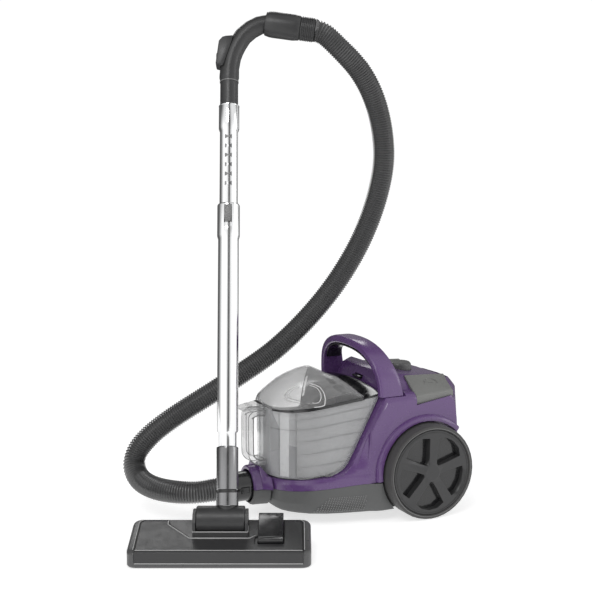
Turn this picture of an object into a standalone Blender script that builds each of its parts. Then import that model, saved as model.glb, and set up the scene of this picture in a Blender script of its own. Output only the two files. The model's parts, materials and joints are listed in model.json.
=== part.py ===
"""Bagless cylinder vacuum cleaner: wheeled canister, dust bin, hose, telescopic wand, floor head.

Row frame in metres: +Z up, the canister's nose points along -X and its near side along -Y.
"""

import math

import bmesh
import bpy
from mathutils import Matrix, Vector

# ---------------------------------------------------------------- placing
AXLE = Vector((0.216, 0.061, 0.0))
WAND_FOOT = Vector((-0.1744, -0.0963, 0.058))
VIEW_TURN = math.radians(-25.26)
WAND_LEAN = math.radians(20.0)
WAND_SIDE_LEAN = -0.0078
HEAD_SHIFT = -0.010

# ---------------------------------------------------------------- canister
GAP = 0.0003
WHEEL_R = 0.0845
WHEEL_OUT = 0.1526
WHEEL_IN = 0.1175
WELL_R = 0.0890
WELL_IN = 0.1125
SEAM_Z = 0.0715
BASE_Z = 0.0190
FRONT_X = -0.2590
REAR_X = 0.1210
SIDE_Y = 0.1250
WALL = 0.0030
INLET_Z = 0.0575
MOUTH_X = -0.2895

# ---------------------------------------------------------------- wand
TUBE_R = 0.0175
INNER_R = 0.0157
COLLAR_R = 0.0193
SOCKET_R = 0.0178

# ---------------------------------------------------------------- hose
HOSE_R = 0.0202
HOSE_WALL = 0.0020

for old in list(bpy.data.objects):
    bpy.data.objects.remove(old)


# ---------------------------------------------------------------- helpers
def material(name, color, rough=0.45, metal=0.0, alpha=1.0):
    made = bpy.data.materials.new(name)
    made.use_nodes = True
    shader = made.node_tree.nodes["Principled BSDF"]
    shader.inputs["Base Color"].default_value = (*color, 1.0)
    shader.inputs["Roughness"].default_value = rough
    shader.inputs["Metallic"].default_value = metal
    shader.inputs["Alpha"].default_value = alpha
    return made


PURPLE = material("purple", (0.115, 0.062, 0.185), 0.3)
GREY = material("grey", (0.105, 0.107, 0.105), 0.5)
CHARCOAL = material("charcoal", (0.055, 0.056, 0.058), 0.45)
BLACK = material("black", (0.02, 0.02, 0.022), 0.35)
RUBBER = material("rubber", (0.045, 0.045, 0.046), 0.7)
OLIVE = material("olive", (0.16, 0.165, 0.155), 0.5)
CLEAR = material("clear", (0.8, 0.82, 0.83), 0.08, 0.0, 0.35)
SMOKE = material("smoke", (0.25, 0.25, 0.25), 0.3)
CHROME = material("chrome", (0.75, 0.76, 0.77), 0.12, 1.0)
GUNMETAL = material("gunmetal", (0.2, 0.2, 0.205), 0.3, 0.6)
STEEL = material("steel", (0.5, 0.5, 0.5), 0.4, 1.0)


def empty(name, matrix):
    made = bpy.data.objects.new(name, None)
    bpy.context.scene.collection.objects.link(made)
    made.matrix_world = matrix
    return made


def flat(face):
    """True where the face's corners lie in one plane."""
    start = face.verts[0].co
    normal = face.normal
    return all(abs((corner.co - start).dot(normal)) < 2e-6 for corner in face.verts)


def solid(name, verts, faces, look, parent=None, pivot=(0, 0, 0), cutter=False):
    """One closed mesh object. Its origin is put at pivot, in the parent's frame."""
    shift = Vector(pivot)
    mesh = bpy.data.meshes.new(name)
    mesh.from_pydata([tuple(Vector(v) - shift) for v in verts], [], faces)
    work = bmesh.new()
    work.from_mesh(mesh)
    bmesh.ops.remove_doubles(work, verts=work.verts, dist=1e-7)
    uneven = [face for face in work.faces if not flat(face)]
    bmesh.ops.triangulate(work, faces=uneven)
    bmesh.ops.recalc_face_normals(work, faces=work.faces)
    if work.calc_volume(signed=True) < 0:
        bmesh.ops.reverse_faces(work, faces=work.faces)
    work.to_mesh(mesh)
    work.free()
    made = bpy.data.objects.new(name, mesh)
    bpy.context.scene.collection.objects.link(made)
    made.parent = parent
    made.location = shift
    if look:
        mesh.materials.append(look)
    if cutter:
        made.hide_render = True
        made.display_type = "WIRE"
    return made


def grid_faces(rows, cols, wrap_rows=False, wrap_cols=True):
    faces = []
    for i in range(rows if wrap_rows else rows - 1):
        for j in range(cols if wrap_cols else cols - 1):
            a = i * cols + j
            b = i * cols + (j + 1) % cols
            c = ((i + 1) % rows) * cols + (j + 1) % cols
            d = ((i + 1) % rows) * cols + j
            faces.append((a, b, c, d))
    return faces


def loft(name, rings, look, parent=None, pivot=(0, 0, 0), closed=False, cutter=False):
    """Skin over rings of equal length; the two end rings are capped unless closed."""
    cols = len(rings[0])
    verts = [p for ring in rings for p in ring]
    faces = grid_faces(len(rings), cols, wrap_rows=closed)
    if not closed:
        faces.append(tuple(range(cols - 1, -1, -1)))
        faces.append(tuple(range((len(rings) - 1) * cols, len(rings) * cols)))
    return solid(name, verts, faces, look, parent, pivot, cutter)


AXES = {
    "X": (Vector((1, 0, 0)), Vector((0, 1, 0)), Vector((0, 0, 1))),
    "Y": (Vector((0, 1, 0)), Vector((0, 0, 1)), Vector((1, 0, 0))),
    "Z": (Vector((0, 0, 1)), Vector((1, 0, 0)), Vector((0, 1, 0))),
}


def circle(radius, along, axis="Z", origin=(0, 0, 0), seg=32, turn=0.0):
    direction, u, v = AXES[axis]
    start = Vector(origin)
    ring = []
    for k in range(seg):
        a = turn + 2 * math.pi * k / seg
        ring.append(start + direction * along + (u * math.cos(a) + v * math.sin(a)) * radius)
    return ring


def revolve(name, profile, look, parent=None, axis="Z", origin=(0, 0, 0), seg=32,
            pivot=None, cutter=False):
    """Solid of revolution. Profile is a closed loop of (radius, along), all radii over 0."""
    rings = [circle(r, a, axis, origin, seg) for r, a in profile]
    return loft(name, rings, look, parent, origin if pivot is None else pivot, True, cutter)


def rod(name, profile, look, parent=None, axis="Z", origin=(0, 0, 0), seg=32,
        pivot=None, cutter=False):
    """Solid round bar: an open profile of (radius, along) with flat round ends."""
    rings = [circle(r, a, axis, origin, seg) for r, a in profile]
    return loft(name, rings, look, parent, origin if pivot is None else pivot, False, cutter)


def box(name, low, high, look, parent=None, pivot=None, cutter=False):
    x0, y0, z0 = low
    x1, y1, z1 = high
    verts = [(x0, y0, z0), (x1, y0, z0), (x1, y1, z0), (x0, y1, z0),
             (x0, y0, z1), (x1, y0, z1), (x1, y1, z1), (x0, y1, z1)]
    faces = [(0, 3, 2, 1), (4, 5, 6, 7), (0, 1, 5, 4), (1, 2, 6, 5), (2, 3, 7, 6), (3, 0, 4, 7)]
    middle = tuple((a + b) / 2 for a, b in zip(low, high))
    return solid(name, verts, faces, look, parent, middle if pivot is None else pivot, cutter)


def prism(name, outline, low, high, look, parent=None, axis="Z", pivot=(0, 0, 0), cutter=False):
    """Outline extruded along an axis. Outline points are the other two axes in order."""
    def point(p, h):
        if axis == "X":
            return (h, p[0], p[1])
        if axis == "Y":
            return (p[0], h, p[1])
        return (p[0], p[1], h)
    rings = [[point(p, low) for p in outline], [point(p, high) for p in outline]]
    return loft(name, rings, look, parent, pivot, False, cutter)


def sweep_rings(points, radius, seg=12, up=Vector((0, 0, 1))):
    """Rings of a round tube along a polyline, carried without twist."""
    points = [Vector(p) for p in points]
    rings = []
    side = None
    for i, p in enumerate(points):
        before = points[max(i - 1, 0)]
        after = points[min(i + 1, len(points) - 1)]
        run = (after - before).normalized()
        if side is None:
            side = run.cross(up)
            if side.length < 0.1:
                side = run.cross(Vector((1, 0, 0)))
        side = (side - run * side.dot(run)).normalized()
        other = run.cross(side)
        r = radius(i) if callable(radius) else radius
        rings.append([p + (side * math.cos(2 * math.pi * k / seg)
                           + other * math.sin(2 * math.pi * k / seg)) * r for k in range(seg)])
    return rings


def tube(name, points, outer, wall, look, parent=None, seg=12, pivot=(0, 0, 0)):
    """Hollow tube along a polyline, open at both ends."""
    outside = sweep_rings(points, outer, seg)
    inner = (lambda i: outer(i) - wall) if callable(outer) else outer - wall
    inside = sweep_rings(points, inner, seg)
    return loft(name, outside + inside[::-1], look, parent, pivot, True)


def smooth_path(points, per=4):
    """Catmull-Rom points through the given ones."""
    pts = [Vector(p) for p in points]
    pts = [pts[0] * 2 - pts[1]] + pts + [pts[-1] * 2 - pts[-2]]
    made = []
    for i in range(1, len(pts) - 2):
        a, b, c, d = pts[i - 1:i + 3]
        for k in range(per):
            t = k / per
            made.append(0.5 * ((2 * b) + (c - a) * t + (2 * a - 5 * b + 4 * c - d) * t * t
                               + (3 * b - a - 3 * c + d) * t ** 3))
    made.append(pts[-2])
    return made


def cut(target, tool, operation="DIFFERENCE"):
    step = target.modifiers.new(f"{operation.lower()}_{tool.name}", "BOOLEAN")
    step.operation = operation
    step.solver = "EXACT"
    step.object = tool


def bevel(target, width, segments=2, angle=35):
    step = target.modifiers.new("bevel", "BEVEL")
    step.width = width
    step.segments = segments
    step.limit_method = "ANGLE"
    step.angle_limit = math.radians(angle)
    step.use_clamp_overlap = True


def lerp(a, b, t):
    return a + (b - a) * t


def table(points, at):
    """Straight-line lookup in a list of (at, value)."""
    if at <= points[0][0]:
        return points[0][1]
    for (a, p), (b, q) in zip(points, points[1:]):
        if at <= b:
            return lerp(p, q, (at - a) / (b - a))
    return points[-1][1]


def rounded_box(half_x, half_y, radius, seg=5, centre=(0.0, 0.0)):
    """Plan outline of a rectangle with round corners, counter-clockwise."""
    ring = []
    for cx, cy, start in ((1, 1, 0), (-1, 1, 90), (-1, -1, 180), (1, -1, 270)):
        for k in range(seg):
            a = math.radians(start + 90 * k / (seg - 1))
            ring.append((centre[0] + cx * (half_x - radius) + radius * math.cos(a),
                         centre[1] + cy * (half_y - radius) + radius * math.sin(a)))
    return ring


# ---------------------------------------------------------------- frames
canister = empty("canister_frame", Matrix.Translation(AXLE))

right = Vector((math.cos(VIEW_TURN), math.sin(VIEW_TURN), 0))
back = Vector((-math.sin(VIEW_TURN), math.cos(VIEW_TURN), 0))
up = Vector((0, 0, 1))
wand_z = (right * WAND_SIDE_LEAN + back * math.sin(WAND_LEAN) + up * math.cos(WAND_LEAN))
wand_z.normalize()
wand_x = (right - wand_z * right.dot(wand_z)).normalized()
wand_y = wand_z.cross(wand_x)
wand_turn = Matrix((wand_x, wand_y, wand_z)).transposed().to_4x4()
wand = empty("wand_frame", Matrix.Translation(WAND_FOOT) @ wand_turn)
head_turn = Matrix((right, back, up)).transposed().to_4x4()
HEAD_AT = WAND_FOOT + right * HEAD_SHIFT - up * WAND_FOOT.z
head = empty("head_frame", Matrix.Translation(HEAD_AT) @ head_turn)
PIVOT_Z = WAND_FOOT.z

# ---------------------------------------------------------------- chassis tub
PLAN = [(-0.2590, 0.000), (-0.2587, 0.025), (-0.2574, 0.040), (-0.2545, 0.0530),
        (-0.2470, 0.0665), (-0.2345, 0.0800), (-0.2178, 0.0935), (-0.1935, 0.1045),
        (-0.1670, 0.1125), (-0.1350, 0.1195), (-0.1140, 0.1235), (-0.1010, 0.1290),
        (-0.0900, 0.1312), (-0.0300, 0.1312), (0.0200, 0.1280), (0.0600, 0.1130),
        (0.0900, 0.0980), (0.1100, 0.0720), (0.1180, 0.0400), (0.1200, 0.0000)]


def seam_z(x):
    """Height of the seam between tub and shell: level aft, dropping towards the nose."""
    return SEAM_Z + min(x + 0.1250, 0.0) * 0.0900


def deck_z(x):
    """Height of the sloping shelf that the dust bin stands on."""
    return 0.0882 + min(x + 0.1550, 0.0) * 0.1100


def tub_ring(z, inset, nose):
    """Plan outline at height z, pulled in by inset and shortened by nose at the front."""
    half = []
    for x, y in PLAN:
        px = lerp(x + inset + nose, x - inset, min(max((x + 0.2590) / 0.36, 0), 1))
        py = max(y - inset, 0.0) if y > 0 else 0.0
        pz = seam_z(px) - GAP if z is None else z
        half.append((px, py, pz))
    ring = [(x, -y, h) for x, y, h in half]
    ring += [(x, y, h) for x, y, h in half[-2:0:-1]]
    return ring


TUB_OUTSIDE = [(BASE_Z, 0.0080, 0.010), (0.0210, 0.0045, 0.006), (0.0260, 0.0020, 0.003),
               (0.0400, 0.0003, 0.000), (None, 0.0, 0.0)]
TUB_INSIDE = [(None, WALL, 0.0), (0.0400, WALL + 0.0003, 0.000), (0.0270, WALL + 0.0020, 0.003),
              (0.0235, WALL + 0.0050, 0.006), (BASE_Z + 0.0028, WALL + 0.0085, 0.009)]
tub = loft("base_tub", [tub_ring(*step) for step in TUB_OUTSIDE + TUB_INSIDE], GREY, canister)


def wells(name, reach, radius=WELL_R):
    """A pair of wheel wells, cut in from both sides."""
    cutters = []
    for side in (-1, 1):
        low, high = sorted((side * reach, side * 0.20))
        cutters.append([circle(radius, low, "Y", (0, 0, WHEEL_R), 40),
                        circle(radius, high, "Y", (0, 0, WHEEL_R), 40)])
    verts = []
    faces = []
    for rings in cutters:
        base = len(verts)
        verts += rings[0] + rings[1]
        n = len(rings[0])
        faces += [tuple(base + k for k in f) for f in grid_faces(2, n)]
        faces.append(tuple(base + k for k in range(n - 1, -1, -1)))
        faces.append(tuple(base + n + k for k in range(n)))
    return solid(name, verts, faces, None, canister, cutter=True)


well_walls = wells("well_walls", WELL_IN - WALL, WELL_R + WALL)
CASTER_X = -0.1900
boss = rod("caster_boss", [(0.0300, BASE_Z + 0.001), (0.0300, 0.0355)], None, canister,
           origin=(CASTER_X, 0, 0), cutter=True)
recess = rod("caster_recess", [(0.0255, 0.010), (0.0255, 0.0295)], None, canister,
             origin=(CASTER_X, 0, 0), cutter=True)
pin_hole = rod("caster_pin_hole", [(0.00305, 0.020), (0.00305, 0.0345)], None, canister,
               origin=(CASTER_X, 0, 0), seg=24, cutter=True)
inlet_cut = rod("inlet_cut", [(0.0150, FRONT_X - 0.01), (0.0150, -0.2500)], None,
                canister, "X", (0, 0, INLET_Z - 0.0030), cutter=True)
# Inner walls of the wheel wells: the well minus a smaller well leaves a skin.
well_skin = wells("well_skin", WELL_IN - WALL, WELL_R + WALL)
skin_limit = loft("skin_limit", [tub_ring(*step) for step in TUB_OUTSIDE], None, canister,
                  cutter=True)
limit_step = well_skin.modifiers.new("limit", "BOOLEAN")
limit_step.operation = "INTERSECT"
limit_step.solver = "EXACT"
limit_step.object = skin_limit
well_cut = wells("well_cut", WELL_IN)
cut(tub, well_skin, "UNION")
cut(tub, boss, "UNION")
cut(tub, well_cut)
cut(tub, recess)
cut(tub, pin_hole)
cut(tub, inlet_cut)

# ---------------------------------------------------------------- upper shell
FRONT_OF = [(y, x) for x, y in PLAN[:11]] + [(0.1250, -0.1130)]
REAR_OF = [(0.0, 0.1150), (0.040, 0.1120), (0.072, 0.0990), (0.098, 0.0815),
           (0.113, 0.0710), (0.120, 0.0680), (0.1250, 0.0655)]
CROWN = [(-0.0765, 0.2207), (-0.0690, 0.2225), (-0.0660, 0.2400), (-0.0610, 0.2530),
         (-0.0490, 0.2595), (-0.0230, 0.2500), (0.0200, 0.2415), (0.0700, 0.2365),
         (0.1050, 0.2270)]
SHOULDER = [(-0.0765, 0.2207), (-0.0690, 0.2213), (-0.0600, 0.2222), (-0.0480, 0.2232),
            (-0.0300, 0.2236), (-0.0100, 0.2236), (0.0250, 0.2234), (0.0600, 0.2226),
            (0.0700, 0.2200)]


def shell_profile(y, t=0.0):
    """Side outline of the upper body at width y, inset by t."""
    w = abs(y)
    front = table(FRONT_OF, w) + t
    rear = table(REAR_OF, w) - t
    blend = min(max((w - 0.066) / 0.042, 0.0), 1.0)
    blend = blend * blend * (3 - 2 * blend)
    drop = 0.0 if w < 0.112 else ((w - 0.112) / 0.013) ** 2 * 0.012
    sink = 0.0 if t == 0 else 0.004
    low = seam_z(front)
    shelf = deck_z(front + 0.004)
    pts = [(front, low - sink), (front, low + 0.0100 - t), (front + 0.0008, shelf - 0.0040 - t),
           (front + 0.0040, shelf - t)]
    ramp = [(-0.1720, deck_z(-0.1720)), (-0.1580, 0.0905), (-0.1470, 0.0965),
            (-0.1388, 0.1060), (-0.1076, 0.1633), (-0.0765, 0.2207)]
    for k, (x, z) in enumerate(ramp):
        nx, nz = (0.0, -1.0) if k == 0 else (0.8787, -0.4773)
        if k in (1, 2):
            nx, nz = 0.55, -0.83
        top = z - (drop if k == 5 else 0.0)
        pts.append((max(x + nx * t, front + 0.0045 + 0.0005 * k), top + nz * t))
    for (xc, zc), (xs, zs) in zip(CROWN[1:], SHOULDER[1:]):
        x = min(lerp(xc, xs, blend), rear - 0.012)
        pts.append((x, lerp(zc, zs, blend) - t - drop))
    last = pts[-1]
    pts.append((rear - 0.0035, last[1] - 0.0100))
    pts.append((rear + 0.0005, 0.1700))
    pts.append((rear + 0.0035, 0.1200))
    pts.append((rear + 0.0085, 0.0900))
    pts.append((rear + 0.0065, SEAM_Z + 0.0045))
    pts.append((rear + 0.0050, SEAM_Z - sink))
    pts.append((max(-0.1250, front + 0.0030), SEAM_Z - sink))
    return pts


def fix_order(pts):
    """Keeps the crown's x values rising where the rear limit squeezes them together."""
    made = list(pts)
    for k in range(11, 18):
        if made[k][0] <= made[k - 1][0] + 0.0008:
            made[k] = (made[k - 1][0] + 0.0008, made[k][1])
    return made


STATIONS = [0.0, 0.020, 0.040, 0.052, 0.062, 0.075, 0.088, 0.100, 0.108, 0.114, 0.119,
            0.1225, 0.1250]


def shell_loft(name, stations, t, look, parent, cutter=False):
    values = [-s for s in stations[:0:-1]] + list(stations)
    rings = [[(x, y, z) for x, z in fix_order(shell_profile(min(abs(y), 0.125), t))]
             for y in values]
    return loft(name, rings, look, parent, cutter=cutter)


shell = shell_loft("upper_shell", STATIONS, 0.0, PURPLE, canister)
cavity = shell_loft("shell_cavity", [0.0, 0.030, 0.055, 0.075, 0.095, 0.110, 0.1195], WALL,
                    None, canister, cutter=True)
cavity_top = box("cavity_top", (-0.30, -0.20, 0.1930), (0.30, 0.20, 0.40), None, canister,
                 cutter=True)
cut(cavity, well_walls)
cut(cavity, cavity_top)
deck_room = box("deck_room", (-0.0480, -0.0500, 0.1900), (0.0950, 0.0500, 0.2330), None,
                canister, cutter=True)


def arch_lip(name, side):
    """Raised half ring round a wheel arch."""
    rings = []
    steps = 20
    for k in range(steps + 1):
        a = math.radians(lerp(46.0, 186.5, k / steps))
        u = Vector((math.cos(a), 0, math.sin(a)))
        centre = Vector((0, 0, WHEEL_R))
        rows = [(WELL_R - 0.0030, 0.1150), (0.1010, 0.1150), (0.0985, 0.1285), (0.0965, 0.1318),
                (0.0930, 0.1330), (WELL_R - 0.0030, 0.1330)]
        rings.append([centre + u * r + Vector((0, side * w, 0)) for r, w in rows])
    return loft(name, rings, None, canister, cutter=True)


lip_right = arch_lip("lip_right", -1)
lip_left = arch_lip("lip_left", 1)
PEDAL = [(-0.0165, 0.0765), (0.0665, 0.0765), (0.0625, 0.0955), (0.0595, 0.1215),
         (-0.0165, 0.1215)]


def two_sided(name, outline, low, high, axis="Z"):
    """A cutter and its mirror image in the canister's middle plane."""
    verts = []
    faces = []
    for side in (-1, 1):
        base = len(verts)
        for h in (low, high):
            for p in outline:
                verts.append((p[0], side * p[1], h) if axis == "Z" else (p[0], side * h, p[1]))
        n = len(outline)
        faces += [tuple(base + k for k in f) for f in grid_faces(2, n)]
        faces.append(tuple(base + k for k in range(n - 1, -1, -1)))
        faces.append(tuple(base + n + k for k in range(n)))
    return solid(name, verts, faces, None, canister, cutter=True)


pedal_pocket = two_sided("pedal_pocket", [
    (-0.0174, 0.0756), (0.0675, 0.0756), (0.0634, 0.0957), (0.0604, 0.1220),
    (-0.0174, 0.1220)], 0.1965, 0.280)
pedal_sill = two_sided("pedal_sill", [
    (-0.0174, 0.2018), (0.0604, 0.2135), (0.0604, 0.2800), (-0.0174, 0.2800)],
    0.1200, 0.1400, "Y")
handle_seat = two_sided("handle_seat", [
    (-0.0880, 0.0985), (-0.0365, 0.0985), (-0.0365, 0.1400), (-0.0880, 0.1400)],
    0.2190, 0.2800)
KNOB_X = 0.0190
knob_seat = rod("knob_seat", [(0.0232, 0.2385), (0.0232, 0.27)], None, canister,
                origin=(KNOB_X, 0, 0), seg=28, cutter=True)
knob_bore = rod("knob_bore", [(0.00405, 0.225), (0.00405, 0.27)], None, canister,
                origin=(KNOB_X, 0, 0), seg=24, cutter=True)
latch_slot = box("latch_slot", (-0.0800, -0.0150, 0.2320), (-0.0560, 0.0150, 0.2395), None,
                 canister, cutter=True)
axle_bore = rod("axle_bore", [(0.00525, -0.20), (0.00525, 0.20)], None, canister, "Y",
                (0, 0, WHEEL_R), cutter=True)
vent_cut = box("vent_cut", (0.1005, -0.0460, 0.1060), (0.140, 0.0460, 0.1640), None, canister,
               cutter=True)
cord_cut = rod("cord_cut", [(0.0085, 0.100), (0.0085, 0.140)], None, canister, "X",
               (0, 0, 0.0880), seg=20, cutter=True)
shell_well = wells("shell_well", WELL_IN)
cut(shell, lip_right, "UNION")
cut(shell, lip_left, "UNION")
cut(shell, cavity)
cut(shell, deck_room)
cut(shell, shell_well)
cut(shell, pedal_pocket)
cut(shell, pedal_sill)
cut(shell, handle_seat)
cut(shell, knob_seat)
cut(shell, knob_bore)
cut(shell, latch_slot)
cut(shell, axle_bore)
cut(shell, vent_cut)
cut(shell, cord_cut)
cut(shell, inlet_cut)

# ---------------------------------------------------------------- carry handle
ARCH_X = [(0.0, -0.0620), (0.35, -0.0665), (1.0, -0.0800)]


def arch_ring(t, half_wide, thick, lift=0.0, corner=0.35):
    """One cross-section of the carry handle; t runs 0..1 from one foot over to the other."""
    a = math.pi * t
    c, s = math.cos(a), math.sin(a)
    n = 2.5
    y = 0.1105 * math.copysign(abs(c) ** (2 / n), c)
    z = 0.2192 + GAP + (0.0835 - lift) * abs(s) ** (2 / n)
    e = 1e-3
    c2, s2 = math.cos(a + e), math.sin(a + e)
    y2 = 0.1105 * math.copysign(abs(c2) ** (2 / n), c2)
    z2 = 0.2192 + (0.0835 - lift) * abs(s2) ** (2 / n) + GAP
    run = Vector((0, y2 - y, z2 - z)).normalized()
    if t in (0.0, 1.0):
        run = Vector((0, 0, 1 if t == 0.0 else -1))
    out = Vector((0, run.z, -run.y))
    rise = (z - 0.2192) / 0.0835
    x = table(ARCH_X, rise)
    centre = Vector((x, y, z))
    ring = []
    for k in range(12):
        b = 2 * math.pi * (k + 0.5) / 12
        p = math.copysign(abs(math.cos(b)) ** corner, math.cos(b)) * half_wide
        q = math.copysign(abs(math.sin(b)) ** corner, math.sin(b)) * thick
        ring.append(centre + Vector((1, 0, 0)) * p + out * q)
    return ring


def handle_loft(name, look, wide, thick, steps, start=0.0, lift=0.0):
    rings = []
    for k in range(steps + 1):
        t = lerp(start, 1.0 - start, k / steps)
        rise = math.sin(math.pi * t) ** 0.8
        rings.append(arch_ring(t, lerp(wide[0], wide[1], rise), lerp(thick[0], thick[1], rise),
                               lift))
    return loft(name, rings, look, canister)


carry_handle = handle_loft("carry_handle", PURPLE, (0.0235, 0.0170), (0.0075, 0.0075), 28)
grip = []
for step in range(17):
    part = lerp(0.14, 0.86, step / 16)
    ring = arch_ring(part, 0.0150, 0.0016)
    core = arch_ring(part, 0.0150, 0.0075)
    inward = sum((core[k] - ring[k] for k in (6, 7, 8, 9, 10, 11)), Vector()) / 6
    inward.x = 0
    inward.normalize()
    grip.append([p + inward * (0.0075 + 0.0016 + GAP) for p in ring])
handle_grip = loft("handle_grip", grip, BLACK, canister)

# ---------------------------------------------------------------- snout
def snout_x(x, z):
    """Slants the rear end of the snout, so that the bin clears it as it is lifted."""
    end = min(FRONT_X - GAP, FRONT_X + 0.0008 - (z - 0.0762) / 1.3333)
    share = max(x + 0.2760, 0) / (FRONT_X - GAP + 0.2760)
    return x if share == 0 else lerp(-0.2760, end, share)


def snout_half(name, low, high, look):
    """Half of the inlet snout, between two angles about its axis."""
    rings = []
    stations = [(MOUTH_X, 0.0345, 0.0345), (MOUTH_X + 0.0020, 0.0360, 0.0360),
                (-0.2760, 0.0366, 0.0366), (-0.2690, 0.0375, 0.0370),
                (FRONT_X - GAP, 0.0400, 0.0380)]
    for x, wide, tall in stations:
        outer = []
        inner = []
        for k in range(17):
            a = math.radians(lerp(low, high, k / 16))
            limit = 0.0310 if math.sin(a) < 0 else 1.0
            z = INLET_Z + max(math.sin(a) * tall, -limit)
            outer.append((snout_x(x, z), math.cos(a) * wide, z))
            z = INLET_Z + math.sin(a) * 0.0292
            inner.append((snout_x(x, z), math.cos(a) * 0.0292, z))
        rings.append(outer + inner[::-1])
    return loft(name, rings, look, canister)


snout_upper = snout_half("snout_upper", 0.6, 179.4, PURPLE)
snout_lower = snout_half("snout_lower", 180.0, 360.0, GREY)
duct_path = smooth_path([(-0.2480, 0, 0.0545), (-0.2000, 0, 0.0540), (-0.1600, 0, 0.0565),
                         (-0.1250, 0, 0.0700), (-0.1020, 0, 0.0980), (-0.0860, 0, 0.1400)], 2)
inlet_duct = tube("inlet_duct", duct_path, 0.0180, 0.0020, CHARCOAL, canister, 14)

# ---------------------------------------------------------------- rear inside and outside parts
MOTOR_X, MOTOR_Z = 0.0120, 0.1180
motor_housing = revolve("motor_housing", [
    (0.00405, -0.0900), (0.0500, -0.0900), (0.0520, -0.0880), (0.0520, -0.0060),
    (0.0490, -0.0060), (0.0490, -0.0870), (0.00405, -0.0870)], CHARCOAL, canister, "Y",
    (MOTOR_X, 0, MOTOR_Z), 24)
motor_stator = revolve("motor_stator", [
    (0.0105, -0.0680), (0.0486, -0.0680), (0.0486, -0.0600), (0.0360, -0.0560),
    (0.0360, -0.0120), (0.0105, -0.0120)], STEEL, canister, "Y", (MOTOR_X, 0, MOTOR_Z), 24)
motor_rotor = rod("motor_rotor", [
    (0.0040, -0.0895), (0.0040, -0.0845), (0.0440, -0.0835), (0.0440, -0.0755),
    (0.0060, -0.0725), (0.0058, -0.0140)], STEEL, canister, "Y", (MOTOR_X, 0, MOTOR_Z), 24)
cord_reel = revolve("cord_reel", [
    (0.00605, 0.0130), (0.0520, 0.0130), (0.0520, 0.0155), (0.0220, 0.0155), (0.0220, 0.0555),
    (0.0520, 0.0555), (0.0520, 0.0580), (0.00605, 0.0580)], CHARCOAL, canister, "Y",
    (MOTOR_X, 0, MOTOR_Z), 24)
reel_spindle = rod("reel_spindle", [
    (0.0100, 0.0100), (0.0100, 0.0125), (0.0060, 0.0125), (0.0060, 0.0620)], STEEL, canister,
    "Y", (MOTOR_X, 0, MOTOR_Z), 24)
pre_filter = box("pre_filter", (-0.0570, -0.0550, 0.0900), (-0.0450, 0.0550, 0.1600), SMOKE,
                 canister)
exhaust_filter = box("exhaust_filter", (0.0790, -0.0480, 0.1000), (0.0910, 0.0480, 0.1700),
                     SMOKE, canister)
grille = box("exhaust_grille", (0.0950, -0.0500, 0.1000), (0.1000, 0.0500, 0.1700), CHARCOAL,
             canister)
slot_verts = []
slot_faces = []
for row in range(7):
    for col in range(2):
        z0 = 0.1085 + row * 0.0078
        y0 = -0.0430 + col * 0.0445
        base = len(slot_verts)
        slot_verts += [(0.09, y0, z0), (0.12, y0, z0), (0.12, y0 + 0.0415, z0),
                       (0.09, y0 + 0.0415, z0), (0.09, y0, z0 + 0.0042),
                       (0.12, y0, z0 + 0.0042), (0.12, y0 + 0.0415, z0 + 0.0042),
                       (0.09, y0 + 0.0415, z0 + 0.0042)]
        slot_faces += [tuple(base + k for k in f) for f in (
            (0, 3, 2, 1), (4, 5, 6, 7), (0, 1, 5, 4), (1, 2, 6, 5), (2, 3, 7, 6), (3, 0, 4, 7))]
grille_slots = solid("grille_slots", slot_verts, slot_faces, None, canister, cutter=True)
cut(grille, grille_slots)
cord_outlet = revolve("cord_outlet", [
    (0.0040, 0.1100), (0.0080, 0.1100), (0.0080, 0.1255), (0.0110, 0.1255), (0.0110, 0.1280),
    (0.0095, 0.1290), (0.0040, 0.1290)], BLACK, canister, "X", (0, 0, 0.0880), 20)

# ---------------------------------------------------------------- wheels
POCKET = [(0.0170, -8), (0.0300, -21), (0.0620, -27), (0.0665, -14), (0.0675, 0),
          (0.0665, 14), (0.0620, 27), (0.0300, 21), (0.0170, 8)]


def wheel(side, word):
    """Disc with five pockets, its tyre and its stub axle on one side."""
    centre = (0, 0, WHEEL_R)
    out = side * (WHEEL_OUT - 0.0012)
    deep = side * (WHEEL_IN + 0.0010)
    disc = revolve(f"wheel_disc_{word}", [
        (0.00530, deep), (0.0200, deep), (0.0200, side * 0.1300), (0.0690, side * 0.1300),
        (0.0700, deep), (0.0762, deep), (0.0762, out - side * 0.0010),
        (0.0748, out), (0.0160, out), (0.0140, out + side * 0.0010),
        (0.00530, out + side * 0.0010)], CHARCOAL, canister, "Y", centre, 32)
    verts = []
    faces = []
    for k in range(5):
        base = len(verts)
        turn = 72 * k + 50
        for y in (side * 0.1385, side * 0.16):
            for r, a in POCKET:
                b = math.radians(turn + a)
                verts.append((r * math.cos(b), y, WHEEL_R + r * math.sin(b)))
        n = len(POCKET)
        faces += [tuple(base + j for j in f) for f in grid_faces(2, n)]
        faces.append(tuple(base + j for j in range(n - 1, -1, -1)))
        faces.append(tuple(base + n + j for j in range(n)))
    pockets = solid(f"pockets_{word}", verts, faces, None, canister, cutter=True)
    cut(disc, pockets)
    tyre = revolve(f"wheel_tyre_{word}", [
        (0.0765, side * WHEEL_IN), (0.0830, side * WHEEL_IN),
        (WHEEL_R, side * (WHEEL_IN + 0.003)), (WHEEL_R, side * (WHEEL_OUT - 0.0045)),
        (0.0835, side * (WHEEL_OUT - 0.0010)), (0.0815, side * WHEEL_OUT),
        (0.0785, side * WHEEL_OUT), (0.0765, side * (WHEEL_OUT - 0.003))], RUBBER, canister,
        "Y", centre, 40)
    axle = rod(f"axle_{word}", [
        (0.0080, side * 0.1040), (0.0080, side * 0.1090), (0.0052, side * 0.1092),
        (0.0052, side * 0.1490)], STEEL, canister, "Y", centre, 32)
    return disc, tyre, axle


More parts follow.
